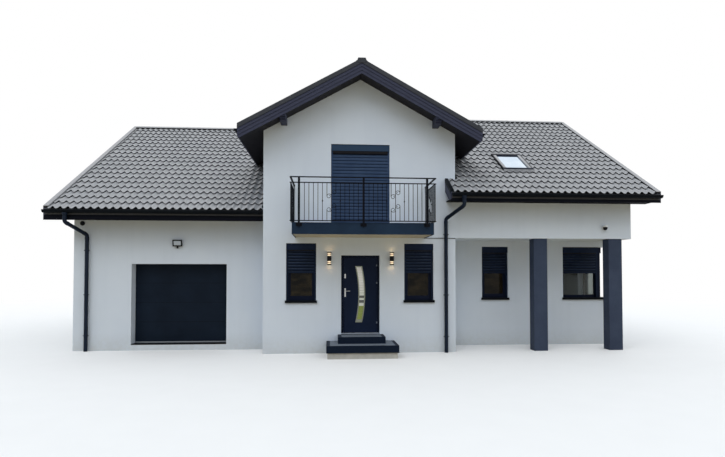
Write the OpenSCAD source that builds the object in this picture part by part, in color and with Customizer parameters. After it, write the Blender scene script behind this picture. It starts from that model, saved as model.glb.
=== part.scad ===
// Detached house with a garage wing, a gabled centre front with a balcony, and a porch wing.
// Sizes are in millimetres. X runs along the front to the right, Y runs to the back, Z is up.
// Heights named _h are above the house floor unless their comment says otherwise.

/* [House] */
// Height of the house floor above the lowest ground
floor_h = 520; // [350:10:800]
// Thickness of the outside walls
wall_t = 360; // [240:5:450]
// Width of the gabled centre front
front_w = 5200; // [4600:10:6400]
// Distance from the middle of the centre front to the right gable
right_len = 7600; // [6300:10:9500]
// Distance from the middle of the centre front to the left gable
left_len = 7870; // [7400:10:9500]
// Depth of the main house from front to back
main_depth = 9540; // [7900:10:11500]
// Distance that the garage front stands behind the centre front
garage_setback = 830; // [400:10:1300]
// Depth of the garage wing from front to back
garage_depth = 10340; // [8600:10:12500]
// Height of the rooms on the ground floor
storey_h = 2580; // [2400:10:2900]
// Thickness of the upper floor
upper_floor_t = 290; // [200:10:400]

/* [Long roofs] */
// Pitch of the two long roofs in degrees
roof_pitch = 33.7; // [28:0.1:38]
// Vertical thickness of every roof slope
roof_t = 250; // [200:10:320]
// Height of the main roof's edge above the house floor
main_eave_h = 3740; // [3500:10:4000]
// Height of the garage roof's edge above the house floor
garage_eave_h = 3320; // [3100:10:3600]
// Overhang of the main roof in front of the wall
main_overhang = 620; // [400:10:800]
// Overhang of the garage roof in front of the wall
garage_overhang = 660; // [400:10:800]
// Overhang of the long roofs past the gable walls
verge_overhang = 425; // [250:5:600]
// Drop from a roof's edge to the underside of its boxed eave
eave_drop = 180; // [150:5:220]
// Thickness of the boards under the eaves
soffit_t = 20; // [15:1:30]
// Length of main roof edge that runs past the centre front's right corner
eave_return = 250; // [150:10:450]

/* [Centre gable roof] */
// Pitch of the centre gable roof in degrees
cross_pitch = 29; // [24:0.1:32]
// Drop from the main roof's ridge to the centre gable roof's ridge
cross_drop = 206; // [100:1:400]
// Overhang of the centre gable roof past the side walls
cross_side = 560; // [350:10:700]
// Overhang of the centre gable roof in front of the wall
cross_front = 550; // [350:10:700]
// Width of the purlins under the gable's overhang
purlin_w = 160; // [120:5:220]
// Depth of the purlins under the gable's overhang
purlin_d = 160; // [140:5:320]
// Distance from the middle of the gable to each purlin
purlin_x = 2050; // [1700:10:2200]
// Height of one step in a purlin's nose
nose_h = 44; // [30:1:65]
// Length of one step in a purlin's nose
nose_l = 62; // [40:1:90]

/* [Verges and ridges] */
// Thickness of the verge boards
board_t = 30; // [20:1:45]
// Depth of the verge boards below the top of the roof
board_d = 310; // [280:5:380]
// Height of one metal step on the verges
flash_h = 35; // [20:1:50]
// Width of the metal capping over a verge
flash_w = 170; // [120:5:240]
// Half the width of the ridge cappings
ridge_half = 150; // [100:5:220]
// Thickness of the ridge cappings' wings
ridge_t = 34; // [20:1:50]
// Width of the ridge cappings' flat crown
crown_w = 174; // [120:2:200]
// Height of the crown above the ridge
crown_h = 76; // [72:1:110]

/* [Gutters and downpipes] */
// Radius of the half-round gutters
gutter_r = 75; // [60:1:90]
// Wall of the gutters
gutter_wall = 4; // [3:0.5:6]
// Radius of the downpipes
pipe_r = 50; // [40:1:60]
// Gap between a downpipe and the wall behind it
pipe_gap = 35; // [20:1:60]
// Distance from a roof's edge down to its gutter's rim
gutter_drop = 50; // [35:5:80]
// Height from a gutter's outlet down to a downpipe's lower bend
swan_h = 520; // [400:10:700]
// Distance from the centre front's corner to the right downpipe
corner_pipe_x = 280; // [150:10:600]
// Distance from a gable to the downpipe beside it
gable_pipe_x = 385; // [250:5:800]

/* [Windows] */
// Width of a window opening
win_w = 800; // [650:10:950]
// Height of a window opening
win_h = 1580; // [1300:10:1700]
// Height of the window openings above the house floor
win_sill_h = 840; // [700:10:950]
// Distance from the outside of a wall to its windows
win_recess = 120; // [80:5:160]
// Depth of the window frames from outside to inside
frame_d = 75; // [60:1:90]
// Width of the window frames' members
frame_w = 75; // [55:1:95]
// Width of the sash members inside the window frames
sash_w = 40; // [25:1:60]
// Thickness of the glazing
glass_t = 24; // [20:1:40]
// Distance from the middle of the centre front to each of its two windows
front_win_x = 1590; // [1400:10:1700]
// Distance from the centre front's corner to the middle of the porch window
porch_win_x = 1535; // [1200:10:1800]
// Length of the corner window along the porch wall
corner_x = 1360; // [1100:10:1500]
// Length of the corner window round the right gable wall
corner_y = 1000; // [800:10:1300]
// Width of the corner window's posts
corner_post = 120; // [90:5:160]
// Projection of the window sills in front of the wall
sill_out = 45; // [25:1:70]
// Thickness of the window sills
sill_t = 50; // [20:1:60]
// Length of the sills' front edge past each side of an opening
sill_ear = 25; // [10:1:50]
// Distance from the rear wall to the middle of the right gable's lower window
gable_win_back = 3630; // [2500:10:4500]
// Distance from a rear corner of the main house to the middle of the rear window nearest to it
rear_win_x = 1500; // [1000:10:2000]

/* [Roller shutters] */
// Height of a shutter's box
shutter_box_h = 175; // [140:5:220]
// Depth of a shutter's box
shutter_box_d = 100; // [80:1:115]
// Thickness of a shutter's curtain
curtain_t = 14; // [9:1:20]
// Length of curtain below the box on the front windows
curtain_drop = 620; // [200:10:1000]
// Width of a shutter's guide rails
guide_w = 50; // [35:1:70]
// Depth of a shutter's guide rails
guide_d = 60; // [40:1:75]

/* [Entrance door] */
// Width of the entrance opening
door_w = 1040; // [960:10:1200]
// Height of the entrance opening
door_h = 2100; // [2000:10:2300]
// Distance from the outside of the wall to the door's frame
door_recess = 120; // [80:5:160]
// Width of the door frame's members
door_frame_w = 60; // [45:1:80]
// Depth of the door frame
door_frame_d = 90; // [70:1:110]
// Thickness of the door leaf
leaf_t = 70; // [55:1:80]
// Gap round the door leaf
leaf_gap = 6; // [5:0.5:8]
// Height of the curved inlay
inlay_h = 1520; // [1300:10:1700]
// Width of the curved inlay
inlay_w = 180; // [160:5:260]
// Height of the curved inlay's middle above the house floor
inlay_mid_h = 1050; // [950:10:1100]
// Bulge of the curved inlay to the right
inlay_bulge = 85; // [50:5:120]
// Width of the steel edge round the inlay's glass
inlay_edge = 26; // [18:1:40]
// Radius of the hinge barrels
hinge_r = 9; // [8:0.5:12]
// Length of one half of a hinge barrel
hinge_l = 50; // [35:1:70]
// Height of the middle of the door handle's plate above the house floor
handle_h = 1095; // [950:5:1150]
// Length of the door handle's lever
lever_l = 130; // [100:1:150]
// Height of the threshold under the door
threshold_h = 20; // [15:1:25]
// Distance from the middle of the entrance to each wall lamp
lamp_x = 840; // [700:10:1000]
// Height of the wall lamps' middle above the house floor
lamp_h = 2010; // [1800:10:2100]

/* [Balcony] */
// Width of the balcony
balcony_w = 3460; // [2800:10:4200]
// Depth of the balcony in front of the wall
balcony_depth = 1180; // [900:10:1500]
// Height of the balcony's top below the upper floor
balcony_drop = 30; // [20:5:60]
// Thickness of the metal trim round the balcony's edge
trim_t = 20; // [12:1:30]
// Width of the balcony door's opening
balcony_door_w = 1590; // [1200:10:1800]
// Height of the balcony door's opening
balcony_door_h = 2210; // [2000:10:2250]
// Height of the railing above the balcony
rail_h = 1130; // [1000:10:1150]
// Width of the railing's posts
post_w = 50; // [40:1:60]
// Width of the railing's handrail
rail_w = 45; // [35:1:60]
// Thickness of the railing's upright bars
bar_w = 14; // [12:1:18]
// Extra distance between a front post and the bars beside it
bar_gap = 22; // [10:1:40]
// Largest distance between the middles of two upright bars
bar_step = 120; // [90:5:120]
// Distance from the middle of the balcony to each outer post
post_x = 1575; // [1200:5:1700]
// Height of the railing's bottom rail above the balcony
rail_low_h = 40; // [40:5:90]
// Distance from the handrail's top down to the second rail's top
rail_space = 135; // [90:5:160]
// Height of the scrolls' middle below and above the middle of the bars, as a distance
scroll_z = 162; // [120:5:200]
// Difference in height between the scrolls on the two sides of an ornament
scroll_shift = 95; // [60:5:120]

/* [Garage] */
// Depth of the garage floor below the house floor
garage_drop = 370; // [150:10:400]
// Width of the garage door
garage_door_w = 2600; // [2250:10:3000]
// Height of the garage door
garage_door_h = 2250; // [2000:10:2400]
// Distance from the left gable to the garage door
garage_door_x = 1550; // [1000:10:2000]
// Distance from the inside of the wall to the garage door
garage_inset = 15; // [5:5:60]
// Thickness of the garage door
garage_panel_t = 45; // [35:1:60]

/* [Porch] */
// Depth of the porch
porch_depth = 1250; // [900:10:1600]
// Width of the porch columns
column_w = 380; // [300:5:450]
// Depth of the porch columns
column_d = 300; // [240:5:350]
// Distance from the right gable to the middle of the outer column
column_end = 450; // [350:10:700]
// Distance between the middles of the two columns
column_step = 2150; // [1800:10:2400]

/* [Steps] */
// Width of the upper step
step_w = 1220; // [1100:10:1500]
// Depth of the upper step in front of the wall
step_d = 610; // [450:10:800]
// Width of the lower step
lower_step_w = 1820; // [1600:10:2200]
// Depth of the lower step in front of the wall
lower_step_d = 980; // [800:10:1300]
// Height of the lower step's plain footing, which the paving hides
footing_h = 150; // [60:10:160]
// Rise from one step to the next
step_rise = 170; // [140:5:190]
// Width of the dark border round the treads' pale slabs
tread_border = 90; // [50:5:150]
// Thickness of the treads' pale slabs
tread_t = 25; // [15:1:30]

/* [Skylight] */
// Width of the skylight
skylight_w = 820; // [660:10:1140]
// Length of the skylight along the slope
skylight_l = 1180; // [980:10:1400]
// Distance from the centre front's corner to the middle of the skylight
skylight_x = 2020; // [1600:10:2400]
// Distance from the centre front's plane back to the skylight's lower edge
skylight_y = 620; // [200:10:900]
// Height of the skylight's frame above the roof
skylight_up = 75; // [50:5:110]
// Width of the skylight frame's members
skylight_member = 70; // [50:5:100]

/* [Hidden] */
$fn = 48;

slope = tan(roof_pitch);
cross_slope = tan(cross_pitch);
half_front = front_w / 2;
return_x = half_front - eave_return;
room_top = floor_h + storey_h;
floor_top = room_top + upper_floor_t;
balcony_top = floor_top - balcony_drop;

main_half = main_depth / 2 + main_overhang;
main_ridge_z = floor_h + main_eave_h + main_half * slope;
garage_half = garage_depth / 2 + garage_overhang;
garage_mid = garage_setback + garage_depth / 2;
garage_ridge_z = floor_h + garage_eave_h + garage_half * slope;
cross_half = half_front + cross_side;
cross_ridge_z = main_ridge_z - cross_drop;
cross_edge_z = cross_ridge_z - cross_half * cross_slope;
main_left = -half_front;
main_right = right_len + verge_overhang;
garage_left = -left_len - verge_overhang;
main_soffit_z = floor_h + main_eave_h - eave_drop;
garage_soffit_z = floor_h + garage_eave_h - eave_drop;

// Depth at which the centre gable roof, at distance x from its ridge, meets the main roof
function valley_y(x) = (cross_ridge_z - x * cross_slope - floor_h - main_eave_h) / slope
    - main_overhang;
// Height of the main roof's top at depth y on its front slope
function main_top(y) = floor_h + main_eave_h + (y + main_overhang) * slope;

far = 40000;
eps = 1;
// How far a cut through a wall runs past its faces
past = 10;
// Gap left between a sloping roof and what it rests on or carries
seat = 0.3;

// Colours
white_stucco = [0.93, 0.93, 0.91];
concrete = [0.7, 0.7, 0.68];
anthracite = [0.2, 0.21, 0.23];
tile_grey = [0.42, 0.43, 0.45];
dark_timber = [0.13, 0.12, 0.12];
pale_metal = [0.68, 0.69, 0.68];
steel = [0.75, 0.76, 0.78];
clear = [0.6, 0.72, 0.78, 0.4];
column_blue = [0.24, 0.27, 0.32];
granite = [0.3, 0.3, 0.31];

// Extrudes a shape drawn in (Y, Z) from x0 to x1
module along_x(x0, x1) translate([x0, 0, 0]) rotate([90, 0, 90]) linear_extrude(x1 - x0) children();

// Extrudes a shape drawn in (X, Z) from y0 to y1
module along_y(y0, y1) translate([0, y1, 0]) rotate([90, 0, 0]) linear_extrude(y1 - y0) children();

// Box between two corners
module span(low, high) translate(low) cube(high - low);

// Round bar between two points
module bar(p, q, r) {
    d = q - p;
    translate(p) rotate([0, acos(d[2] / norm(d)), atan2(d[1], d[0])]) cylinder(r = r, h = norm(d));
}

// Chevron with its peak at the origin, for boards and cappings that run over a ridge
module chevron(half, s, t) polygon([[-half, -half * s], [0, 0], [half, -half * s],
    [half, -half * s - t], [0, -t], [-half, -half * s - t]]);

// One slope of a long roof, its ridge at the origin, cut level over the boxed eave
module slope_section(half) {
    cut = eave_drop - soffit_t;
    polygon([[0, 0], [-half, -half * slope], [-half, -half * slope - cut],
        [-half + (roof_t - cut) / slope, -half * slope - cut], [0, -roof_t]]);
}

// Everything below a roof's underside, its ridge at the origin
module under_section(half, s, t) polygon([[-half, -half * s - t], [0, -t], [half, -half * s - t],
    [half, -far], [-half, -far]]);

module under_main() along_x(-far, far) translate([main_depth / 2, main_ridge_z])
    under_section(main_half, slope, roof_t + seat);
module under_garage() along_x(-far, far) translate([garage_mid, garage_ridge_z])
    under_section(garage_half, slope, roof_t + seat);
module under_cross() along_y(-far, valley_y(0)) translate([0, cross_ridge_z])
    under_section(cross_half, cross_slope, roof_t + seat);

// Outline, in plan, of what the centre gable roof covers of the main roof
module cross_plan() polygon([[-half_front, -far], [-half_front, valley_y(half_front)], [0, valley_y(0)],
    [half_front, valley_y(half_front)], [half_front, 0], [return_x, 0], [return_x, -far]]);

// Opening through a wall whose outside faces -Y, its middle at x and its bottom at z
module front_hole(x, z, w, h, y = 0) span([x - w / 2, y - past, z],
    [x + w / 2, y + wall_t + past, z + h]);

// Windows as [middle on the wall's outside, turn, bottom above the house floor, curtain below the box]
upper_sill_h = storey_h + upper_floor_t + win_sill_h;
rear_right_x = right_len - rear_win_x;
rear_left_x = -half_front + rear_win_x;
WINDOWS = [
    [[-front_win_x, 0], 0, win_sill_h, curtain_drop],
    [[front_win_x, 0], 0, win_sill_h, curtain_drop],
    [[half_front + porch_win_x, porch_depth], 0, win_sill_h, curtain_drop],
    [[right_len, main_depth - gable_win_back], 90, win_sill_h, 0],
    [[right_len, main_depth / 2], 90, upper_sill_h, 0],
    [[rear_right_x, main_depth], 180, win_sill_h, 0],
    [[(rear_left_x + rear_right_x) / 2, main_depth], 180, win_sill_h, 0],
    [[rear_left_x, main_depth], 180, win_sill_h, 0],
    [[-left_len, garage_mid], -90, upper_sill_h, 0],
    [[-left_len / 2 - half_front / 2, garage_setback + garage_depth], 180, win_sill_h, 0]];

// Puts its children at a window: X along the wall, Y into it from its outside, Z up from the opening
module at_window(w) translate([w[0][0], w[0][1], floor_h + w[2]]) rotate([0, 0, w[1]]) children();

module window_hole(w) at_window(w) span([-win_w / 2, -past, 0], [win_w / 2, wall_t + past, win_h]);

// Ring of frame members round an opening of width w and height h
module frame_ring(w, h, member, d) difference() {
    span([-w / 2, 0, 0], [w / 2, d, h]);
    span([-w / 2 + member, -eps, member], [w / 2 - member, d + eps, h - member]);
}

// Floors

module raft_outline() polygon([[-half_front + wall_t, wall_t], [half_front - wall_t, wall_t],
    [half_front - wall_t, porch_depth + wall_t], [right_len - wall_t, porch_depth + wall_t],
    [right_len - wall_t, main_depth - wall_t], [-half_front + wall_t, main_depth - wall_t]]);
raft_t = floor_h / 2;

module foundation_raft() color(concrete) linear_extrude(raft_t) raft_outline();

module ground_floor() color(concrete) translate([0, 0, raft_t]) linear_extrude(floor_h - raft_t)
    raft_outline();

module upper_floor() color(white_stucco) span([-half_front + wall_t, wall_t, room_top],
    [right_len - wall_t, main_depth - wall_t, floor_top]);

module garage_floor() color(concrete) span([-left_len + wall_t, garage_setback + wall_t, 0],
    [-half_front - wall_t, garage_setback + garage_depth - wall_t, floor_h - garage_drop]);

// Walls of the main house

// Ground storey of the centre front, on the side that sign gives
module front_wall_side(sign) color(white_stucco) difference() {
    x0 = sign > 0 ? door_w / 2 : -half_front;
    span([x0, 0, 0], [x0 + half_front - door_w / 2, wall_t, room_top]);
    front_hole(sign * front_win_x, floor_h + win_sill_h, win_w, win_h);
}
module front_wall_left() front_wall_side(-1);
module front_wall_right() front_wall_side(1);

// Wall over the entrance, and the block under its threshold
module door_lintel() color(white_stucco) {
    span([-door_w / 2, 0, floor_h + door_h], [door_w / 2, wall_t, room_top]);
    span([-door_w / 2, 0, 0], [door_w / 2, wall_t, floor_h]);
}

balcony_sill_z = floor_top + 30;
corner_z = floor_h + win_sill_h;
module front_gable_wall() color(white_stucco) difference() {
    intersection() {
        span([-half_front, 0, room_top], [half_front, wall_t, cross_ridge_z]);
        under_cross();
    }
    front_hole(0, balcony_sill_z, balcony_door_w, balcony_door_h);
}

module main_left_wall() color(white_stucco) intersection() {
    span([-half_front, wall_t, 0], [-half_front + wall_t, main_depth - wall_t, main_ridge_z]);
    union() {
        under_main();
        under_cross();
    }
}

module centre_right_wall() color(white_stucco) {
    span([half_front - wall_t, wall_t, 0], [half_front, porch_depth + wall_t, room_top]);
    intersection() {
        span([half_front - wall_t, wall_t, floor_top], [half_front, valley_y(half_front), cross_ridge_z]);
        under_cross();
    }
}

module porch_wall() color(white_stucco) difference() {
    span([half_front, porch_depth, 0], [right_len, porch_depth + wall_t, room_top]);
    window_hole(WINDOWS[2]);
    span([right_len - corner_x, porch_depth - past, corner_z],
        [right_len + past, porch_depth + wall_t + past, corner_z + win_h]);
}

module porch_beam() color(white_stucco) intersection() {
    span([half_front, 0, room_top], [right_len - wall_t, wall_t, main_ridge_z]);
    under_main();
}

column_in = 20;
module porch_columns() color(column_blue) for (i = [0, 1]) {
    x = right_len - column_end - i * column_step;
    span([x - column_w / 2, column_in, 0], [x + column_w / 2, column_in + column_d, room_top]);
}

module right_gable_wall() color(white_stucco) difference() {
    intersection() {
        union() {
            span([right_len - wall_t, porch_depth + wall_t, 0], [right_len, main_depth, room_top]);
            span([right_len - wall_t, 0, room_top], [right_len, main_depth, main_ridge_z]);
        }
        under_main();
    }
    span([right_len - wall_t - past, porch_depth, corner_z],
        [right_len + past, porch_depth + corner_y, corner_z + win_h]);
    window_hole(WINDOWS[3]);
    window_hole(WINDOWS[4]);
}

module rear_wall() color(white_stucco) difference() {
    intersection() {
        span([-half_front, main_depth - wall_t, 0], [right_len - wall_t, main_depth, main_ridge_z]);
        under_main();
    }
    for (i = [5, 6, 7]) window_hole(WINDOWS[i]);
}

// Walls of the garage wing

garage_door_mid = -left_len + garage_door_x + garage_door_w / 2;
garage_floor_z = floor_h - garage_drop;

module garage_front_wall() color(white_stucco) difference() {
    intersection() {
        span([-left_len + wall_t, garage_setback, 0], [-half_front, garage_setback + wall_t, garage_ridge_z]);
        under_garage();
    }
    front_hole(garage_door_mid, garage_floor_z, garage_door_w, garage_door_h, garage_setback);
}

module garage_left_wall() color(white_stucco) difference() {
    intersection() {
        span([-left_len, garage_setback, 0], [-left_len + wall_t, garage_setback + garage_depth,
            garage_ridge_z]);
        under_garage();
    }
    window_hole(WINDOWS[8]);
}

module garage_right_wall() color(white_stucco) intersection() {
    span([-half_front - wall_t, garage_setback + wall_t, 0],
        [-half_front, garage_setback + garage_depth, garage_ridge_z]);
    under_garage();
}

module garage_rear_wall() color(white_stucco) difference() {
    intersection() {
        span([-left_len + wall_t, garage_setback + garage_depth - wall_t, 0],
            [-half_front - wall_t, garage_setback + garage_depth, garage_ridge_z]);
        under_garage();
    }
    window_hole(WINDOWS[9]);
}

// Roofs

// Puts its children on the main roof's front slope: X along it, Y up it, Z out of it
module on_slope(x, y) translate([x, y, main_top(y)]) rotate([roof_pitch, 0, 0]) children();

module at_skylight() on_slope(half_front + skylight_x, skylight_y) children();

module main_roof_front() color(tile_grey) difference() {
    along_x(main_left, main_right) translate([main_depth / 2, main_ridge_z]) slope_section(main_half);
    linear_extrude(far) cross_plan();
    at_skylight() span([-skylight_w / 2, 0, -2 * roof_t], [skylight_w / 2, skylight_l, roof_t]);
}

module main_roof_rear() color(tile_grey) translate([0, main_depth, 0]) mirror([0, 1, 0])
    along_x(main_left, main_right) translate([main_depth / 2, main_ridge_z]) slope_section(main_half);

module garage_roof_front() color(tile_grey) along_x(garage_left, -half_front)
    translate([garage_mid, garage_ridge_z]) slope_section(garage_half);

module garage_roof_rear() color(tile_grey) translate([0, 2 * garage_mid, 0]) mirror([0, 1, 0])
    garage_roof_front();

// Space below the tops of the long roofs, where the centre gable roof's overhangs land on them
module below_garage_top() along_x(-far, -half_front) translate([garage_mid, garage_ridge_z])
    under_section(garage_half, slope, -seat);
module below_main_top() along_x(half_front, far) translate([main_depth / 2, main_ridge_z])
    under_section(main_half, slope, -seat);

module cross_slope_section() polygon([[0, 0], [-cross_half, -cross_half * cross_slope],
    [-cross_half, -cross_half * cross_slope - roof_t], [0, -roof_t]]);

module cross_roof_left() color(tile_grey) difference() {
    along_y(-cross_front, garage_mid) translate([0, cross_ridge_z]) cross_slope_section();
    linear_extrude(far) polygon([[far, valley_y(0)], [0, valley_y(0)], [-half_front, valley_y(half_front)],
        [-half_front, far], [far, far]]);
    below_garage_top();
}

module cross_roof_right() color(tile_grey) difference() {
    along_y(-cross_front, main_depth / 2) mirror([1, 0]) translate([0, cross_ridge_z])
        cross_slope_section();
    linear_extrude(far) polygon([[-far, valley_y(0)], [0, valley_y(0)], [half_front, valley_y(half_front)],
        [cross_half + eps, valley_y(cross_half + eps)], [far, far], [-far, far]]);
    below_main_top();
}

// Boards under the boxed eaves
module eave_soffit(x0, x1, y0, y1, z) span([x0, y0, z], [x1, y1, z + soffit_t]);
module soffits() color(dark_timber) {
    eave_soffit(return_x, main_right, -main_overhang, 0, main_soffit_z);
    eave_soffit(main_left, main_right, main_depth, main_depth + main_overhang, main_soffit_z);
    eave_soffit(garage_left, -half_front, garage_setback - garage_overhang, garage_setback,
        garage_soffit_z);
    eave_soffit(garage_left, -half_front, garage_setback + garage_depth,
        garage_setback + garage_depth + garage_overhang, garage_soffit_z);
}

// Boards over the gable's front edge and along its two side edges
module gable_bargeboards() color(dark_timber) {
    along_y(-cross_front - board_t, -cross_front) translate([0, cross_ridge_z])
        chevron(cross_half, cross_slope, board_d);
    top = cross_edge_z - board_t * cross_slope;
    for (side = [-1, 1]) difference() {
        x = side > 0 ? cross_half : -cross_half - board_t;
        span([x, -cross_front - board_t, top - roof_t], [x + board_t, main_depth / 2, top]);
        below_garage_top();
        below_main_top();
    }
}

// Strip of the main roof's front slope, seen from the side, from up above its top to down below it
module front_strip(y0, y1, up, down) polygon([[y0, main_top(y0) + up], [y1, main_top(y1) + up],
    [y1, main_top(y1) - down], [y0, main_top(y0) - down]]);

// Boards over the edges of the long roofs' gables, cut level with the boards under the eaves
module above(z) intersection() {
    children();
    span([-far, -far, z], [far, far, far]);
}
module verge_boards() color(dark_timber) {
    above(main_soffit_z) along_x(main_right, main_right + board_t)
        translate([main_depth / 2, main_ridge_z]) chevron(main_half, slope, board_d);
    above(garage_soffit_z) along_x(garage_left - board_t, garage_left)
        translate([garage_mid, garage_ridge_z]) chevron(garage_half, slope, board_d);
    above(main_soffit_z) along_x(return_x - board_t, return_x)
        front_strip(-main_overhang, 0, 0, board_d);
}

// Metal cappings over the verges of the long roofs
module main_capping(x0, x1) along_x(x0, x1) translate([main_depth / 2, main_ridge_z + flash_h + seat])
    chevron(main_half, slope, flash_h);
module garage_capping(x0, x1) along_x(x0, x1) translate([garage_mid, garage_ridge_z + flash_h + seat])
    chevron(garage_half, slope, flash_h);

// Depth behind the ridge at which the main roof's rear slope meets the garage roof's front slope
roofs_meet_y = (main_ridge_z - garage_ridge_z + (main_depth / 2 + garage_mid) * slope) / (2 * slope);

// One step on the long roofs, also where one of them stands above the other, and two on the gable
module verge_flashings() {
    color(pale_metal) {
        main_capping(main_right + board_t - flash_w, main_right + board_t);
        garage_capping(garage_left - board_t, garage_left - board_t + flash_w);
        along_x(return_x - board_t, return_x - board_t + flash_w)
            front_strip(-main_overhang, 0, flash_h + seat, -seat);
        intersection() {
            main_capping(main_left, main_left + flash_w);
            span([-far, valley_y(half_front - flash_w) + flash_h, 0], [far, roofs_meet_y - flash_w, far]);
        }
        intersection() {
            garage_capping(-half_front - flash_w, -half_front);
            span([-far, roofs_meet_y + flash_w, 0], [far, far, far]);
        }
    }
    color(anthracite) {
        along_y(-cross_front - board_t, -cross_front - board_t + flash_w)
            translate([0, cross_ridge_z + flash_h + seat])
            chevron(cross_half + board_t, cross_slope, flash_h);
        along_y(-cross_front - 2 * board_t, -cross_front - board_t)
            translate([0, cross_ridge_z + 2 * flash_h])
            chevron(cross_half + board_t, cross_slope, 3 * flash_h);
    }
}

// Ridge capping in section: two wings on the slopes and a flat crown between them
module ridge_section(s) {
    foot = crown_w / 2 + ridge_t / 2;
    polygon([[-ridge_half, -ridge_half * s], [-ridge_half, ridge_t - ridge_half * s],
        [-foot, ridge_t - foot * s], [-crown_w / 2, crown_h], [crown_w / 2, crown_h],
        [foot, ridge_t - foot * s], [ridge_half, ridge_t - ridge_half * s],
        [ridge_half, -ridge_half * s], [0, 0]]);
}

module ridge_caps() color(tile_grey) {
    along_x(main_left + flash_w + eps, main_right + board_t - flash_w - eps)
        translate([main_depth / 2, main_ridge_z + seat]) ridge_section(slope);
    along_x(garage_left - board_t + flash_w + eps, -half_front - flash_w - eps)
        translate([garage_mid, garage_ridge_z + seat]) ridge_section(slope);
    difference() {
        along_y(-cross_front - 2 * board_t, main_depth / 2) translate([0, cross_ridge_z + seat])
            ridge_section(cross_slope);
        along_x(-far, far) translate([main_depth / 2, main_ridge_z]) under_section(main_half, slope, -seat);
        along_y(-far, -cross_front - board_t + flash_w + eps) translate([0, cross_ridge_z])
            under_section(cross_half, cross_slope, -flash_h - 2 * seat);
        along_y(-far, -cross_front - board_t + eps) translate([0, cross_ridge_z])
            under_section(cross_half, cross_slope, -2 * flash_h - seat);
    }
}

// Purlin ends under the gable's overhang, each with a stepped nose
module gable_purlins() color(dark_timber) for (side = [-1, 1]) intersection() {
    top = cross_ridge_z - roof_t - (purlin_x - purlin_w / 2) * cross_slope;
    low = cross_ridge_z - roof_t - purlin_x * cross_slope - purlin_d;
    along_x(side * purlin_x - purlin_w / 2, side * purlin_x + purlin_w / 2)
        polygon([[0, low], [0, top], [-cross_front, top], [-cross_front, low + 2 * nose_h],
            [-cross_front + nose_l, low + 2 * nose_h], [-cross_front + nose_l, low + nose_h],
            [-cross_front + 2 * nose_l, low + nose_h], [-cross_front + 2 * nose_l, low]]);
    under_cross();
}

// Gutters

// Half-round gutter in section, its back flange flat against the eave at the origin
gutter_flange = 30;
module gutter_section() {
    translate([-gutter_r, 0]) difference() {
        circle(gutter_r);
        circle(gutter_r - gutter_wall);
        translate([-far, 0]) square(2 * far);
    }
    translate([-gutter_wall, -eps]) square([gutter_wall, gutter_flange]);
}

module gutter_run(x0, x1) {
    along_x(x0, x1) gutter_section();
    for (x = [x0, x1 - gutter_wall]) along_x(x, x + gutter_wall) translate([-gutter_r, 0])
        difference() {
            circle(gutter_r);
            translate([-far, 0]) square(2 * far);
        }
}

module gutters() color(anthracite) {
    translate([0, -main_overhang, floor_h + main_eave_h - gutter_drop])
        gutter_run(return_x, main_right);
    translate([0, main_depth + main_overhang, floor_h + main_eave_h - gutter_drop]) mirror([0, 1, 0])
        gutter_run(main_left + eps, main_right);
    translate([0, garage_setback - garage_overhang, floor_h + garage_eave_h - gutter_drop])
        gutter_run(garage_left, -half_front - eps);
    translate([0, garage_setback + garage_depth + garage_overhang, floor_h + garage_eave_h - gutter_drop])
        mirror([0, 1, 0]) gutter_run(garage_left, -half_front);
}

// Downpipe from a gutter outlet to the foot of a wall, with socketed bends and two wall clips
socket = 7;
outlet_h = 235;
clip_t = 5;
clip_w = 24;
clip_h = 30;
clip_end = 400;
module downpipe(outlet, wall, turn_z) {
    low = [wall[0], wall[1], 0];
    bend = [wall[0], wall[1], turn_z - swan_h];
    elbow = [outlet[0], outlet[1], turn_z - outlet_h];
    bar([outlet[0], outlet[1], turn_z], elbow, pipe_r);
    translate(elbow) sphere(pipe_r + socket);
    bar(elbow, bend, pipe_r);
    translate(bend) sphere(pipe_r + socket);
    bar(bend, low, pipe_r);
    for (z = [clip_end, bend[2] - clip_end]) translate([wall[0], wall[1], z]) {
        cylinder(r = pipe_r + clip_t, h = clip_h);
        span([-clip_w / 2, 0, 0], [clip_w / 2, wall[2], clip_h]);
    }
}

off = pipe_r + pipe_gap;
// Sideways run of the swan necks at the centre front's corner and at the gables
corner_swan = 340;
gable_swan = 260;
module downpipes() color(anthracite) {
    main_out = floor_h + main_eave_h - gutter_drop - gutter_r - seat;
    garage_out = floor_h + garage_eave_h - gutter_drop - gutter_r - seat;
    corner_x0 = half_front - corner_pipe_x;
    left_x = -left_len + gable_pipe_x;
    right_x = right_len - gable_pipe_x;
    garage_back = garage_setback + garage_depth;
    downpipe([corner_x0 + corner_swan, -main_overhang - gutter_r], [corner_x0, -off, off], main_out);
    downpipe([left_x - gable_swan, garage_setback - garage_overhang - gutter_r],
        [left_x, garage_setback - off, off], garage_out);
    downpipe([right_x + gable_swan, main_depth + main_overhang + gutter_r],
        [right_x, main_depth + off, -off], main_out);
    downpipe([left_x - gable_swan, garage_back + garage_overhang + gutter_r],
        [left_x, garage_back + off, -off], garage_out);
}

// Skylight

// Depth of the skylight's frame below the roof's top, and of its glass below the frame's
skylight_down = 120;
skylight_rim = 15;
module skylight_frame() color(anthracite) at_skylight() difference() {
    span([-skylight_w / 2, 0, -skylight_down], [skylight_w / 2, skylight_l, skylight_up]);
    span([-skylight_w / 2 + skylight_member, skylight_member, -skylight_down - eps],
        [skylight_w / 2 - skylight_member, skylight_l - skylight_member, skylight_up + eps]);
}

module skylight_glass() color(clear) at_skylight()
    span([-skylight_w / 2 + skylight_member, skylight_member, skylight_up - skylight_rim - glass_t],
        [skylight_w / 2 - skylight_member, skylight_l - skylight_member, skylight_up - skylight_rim]);

// Windows

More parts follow.
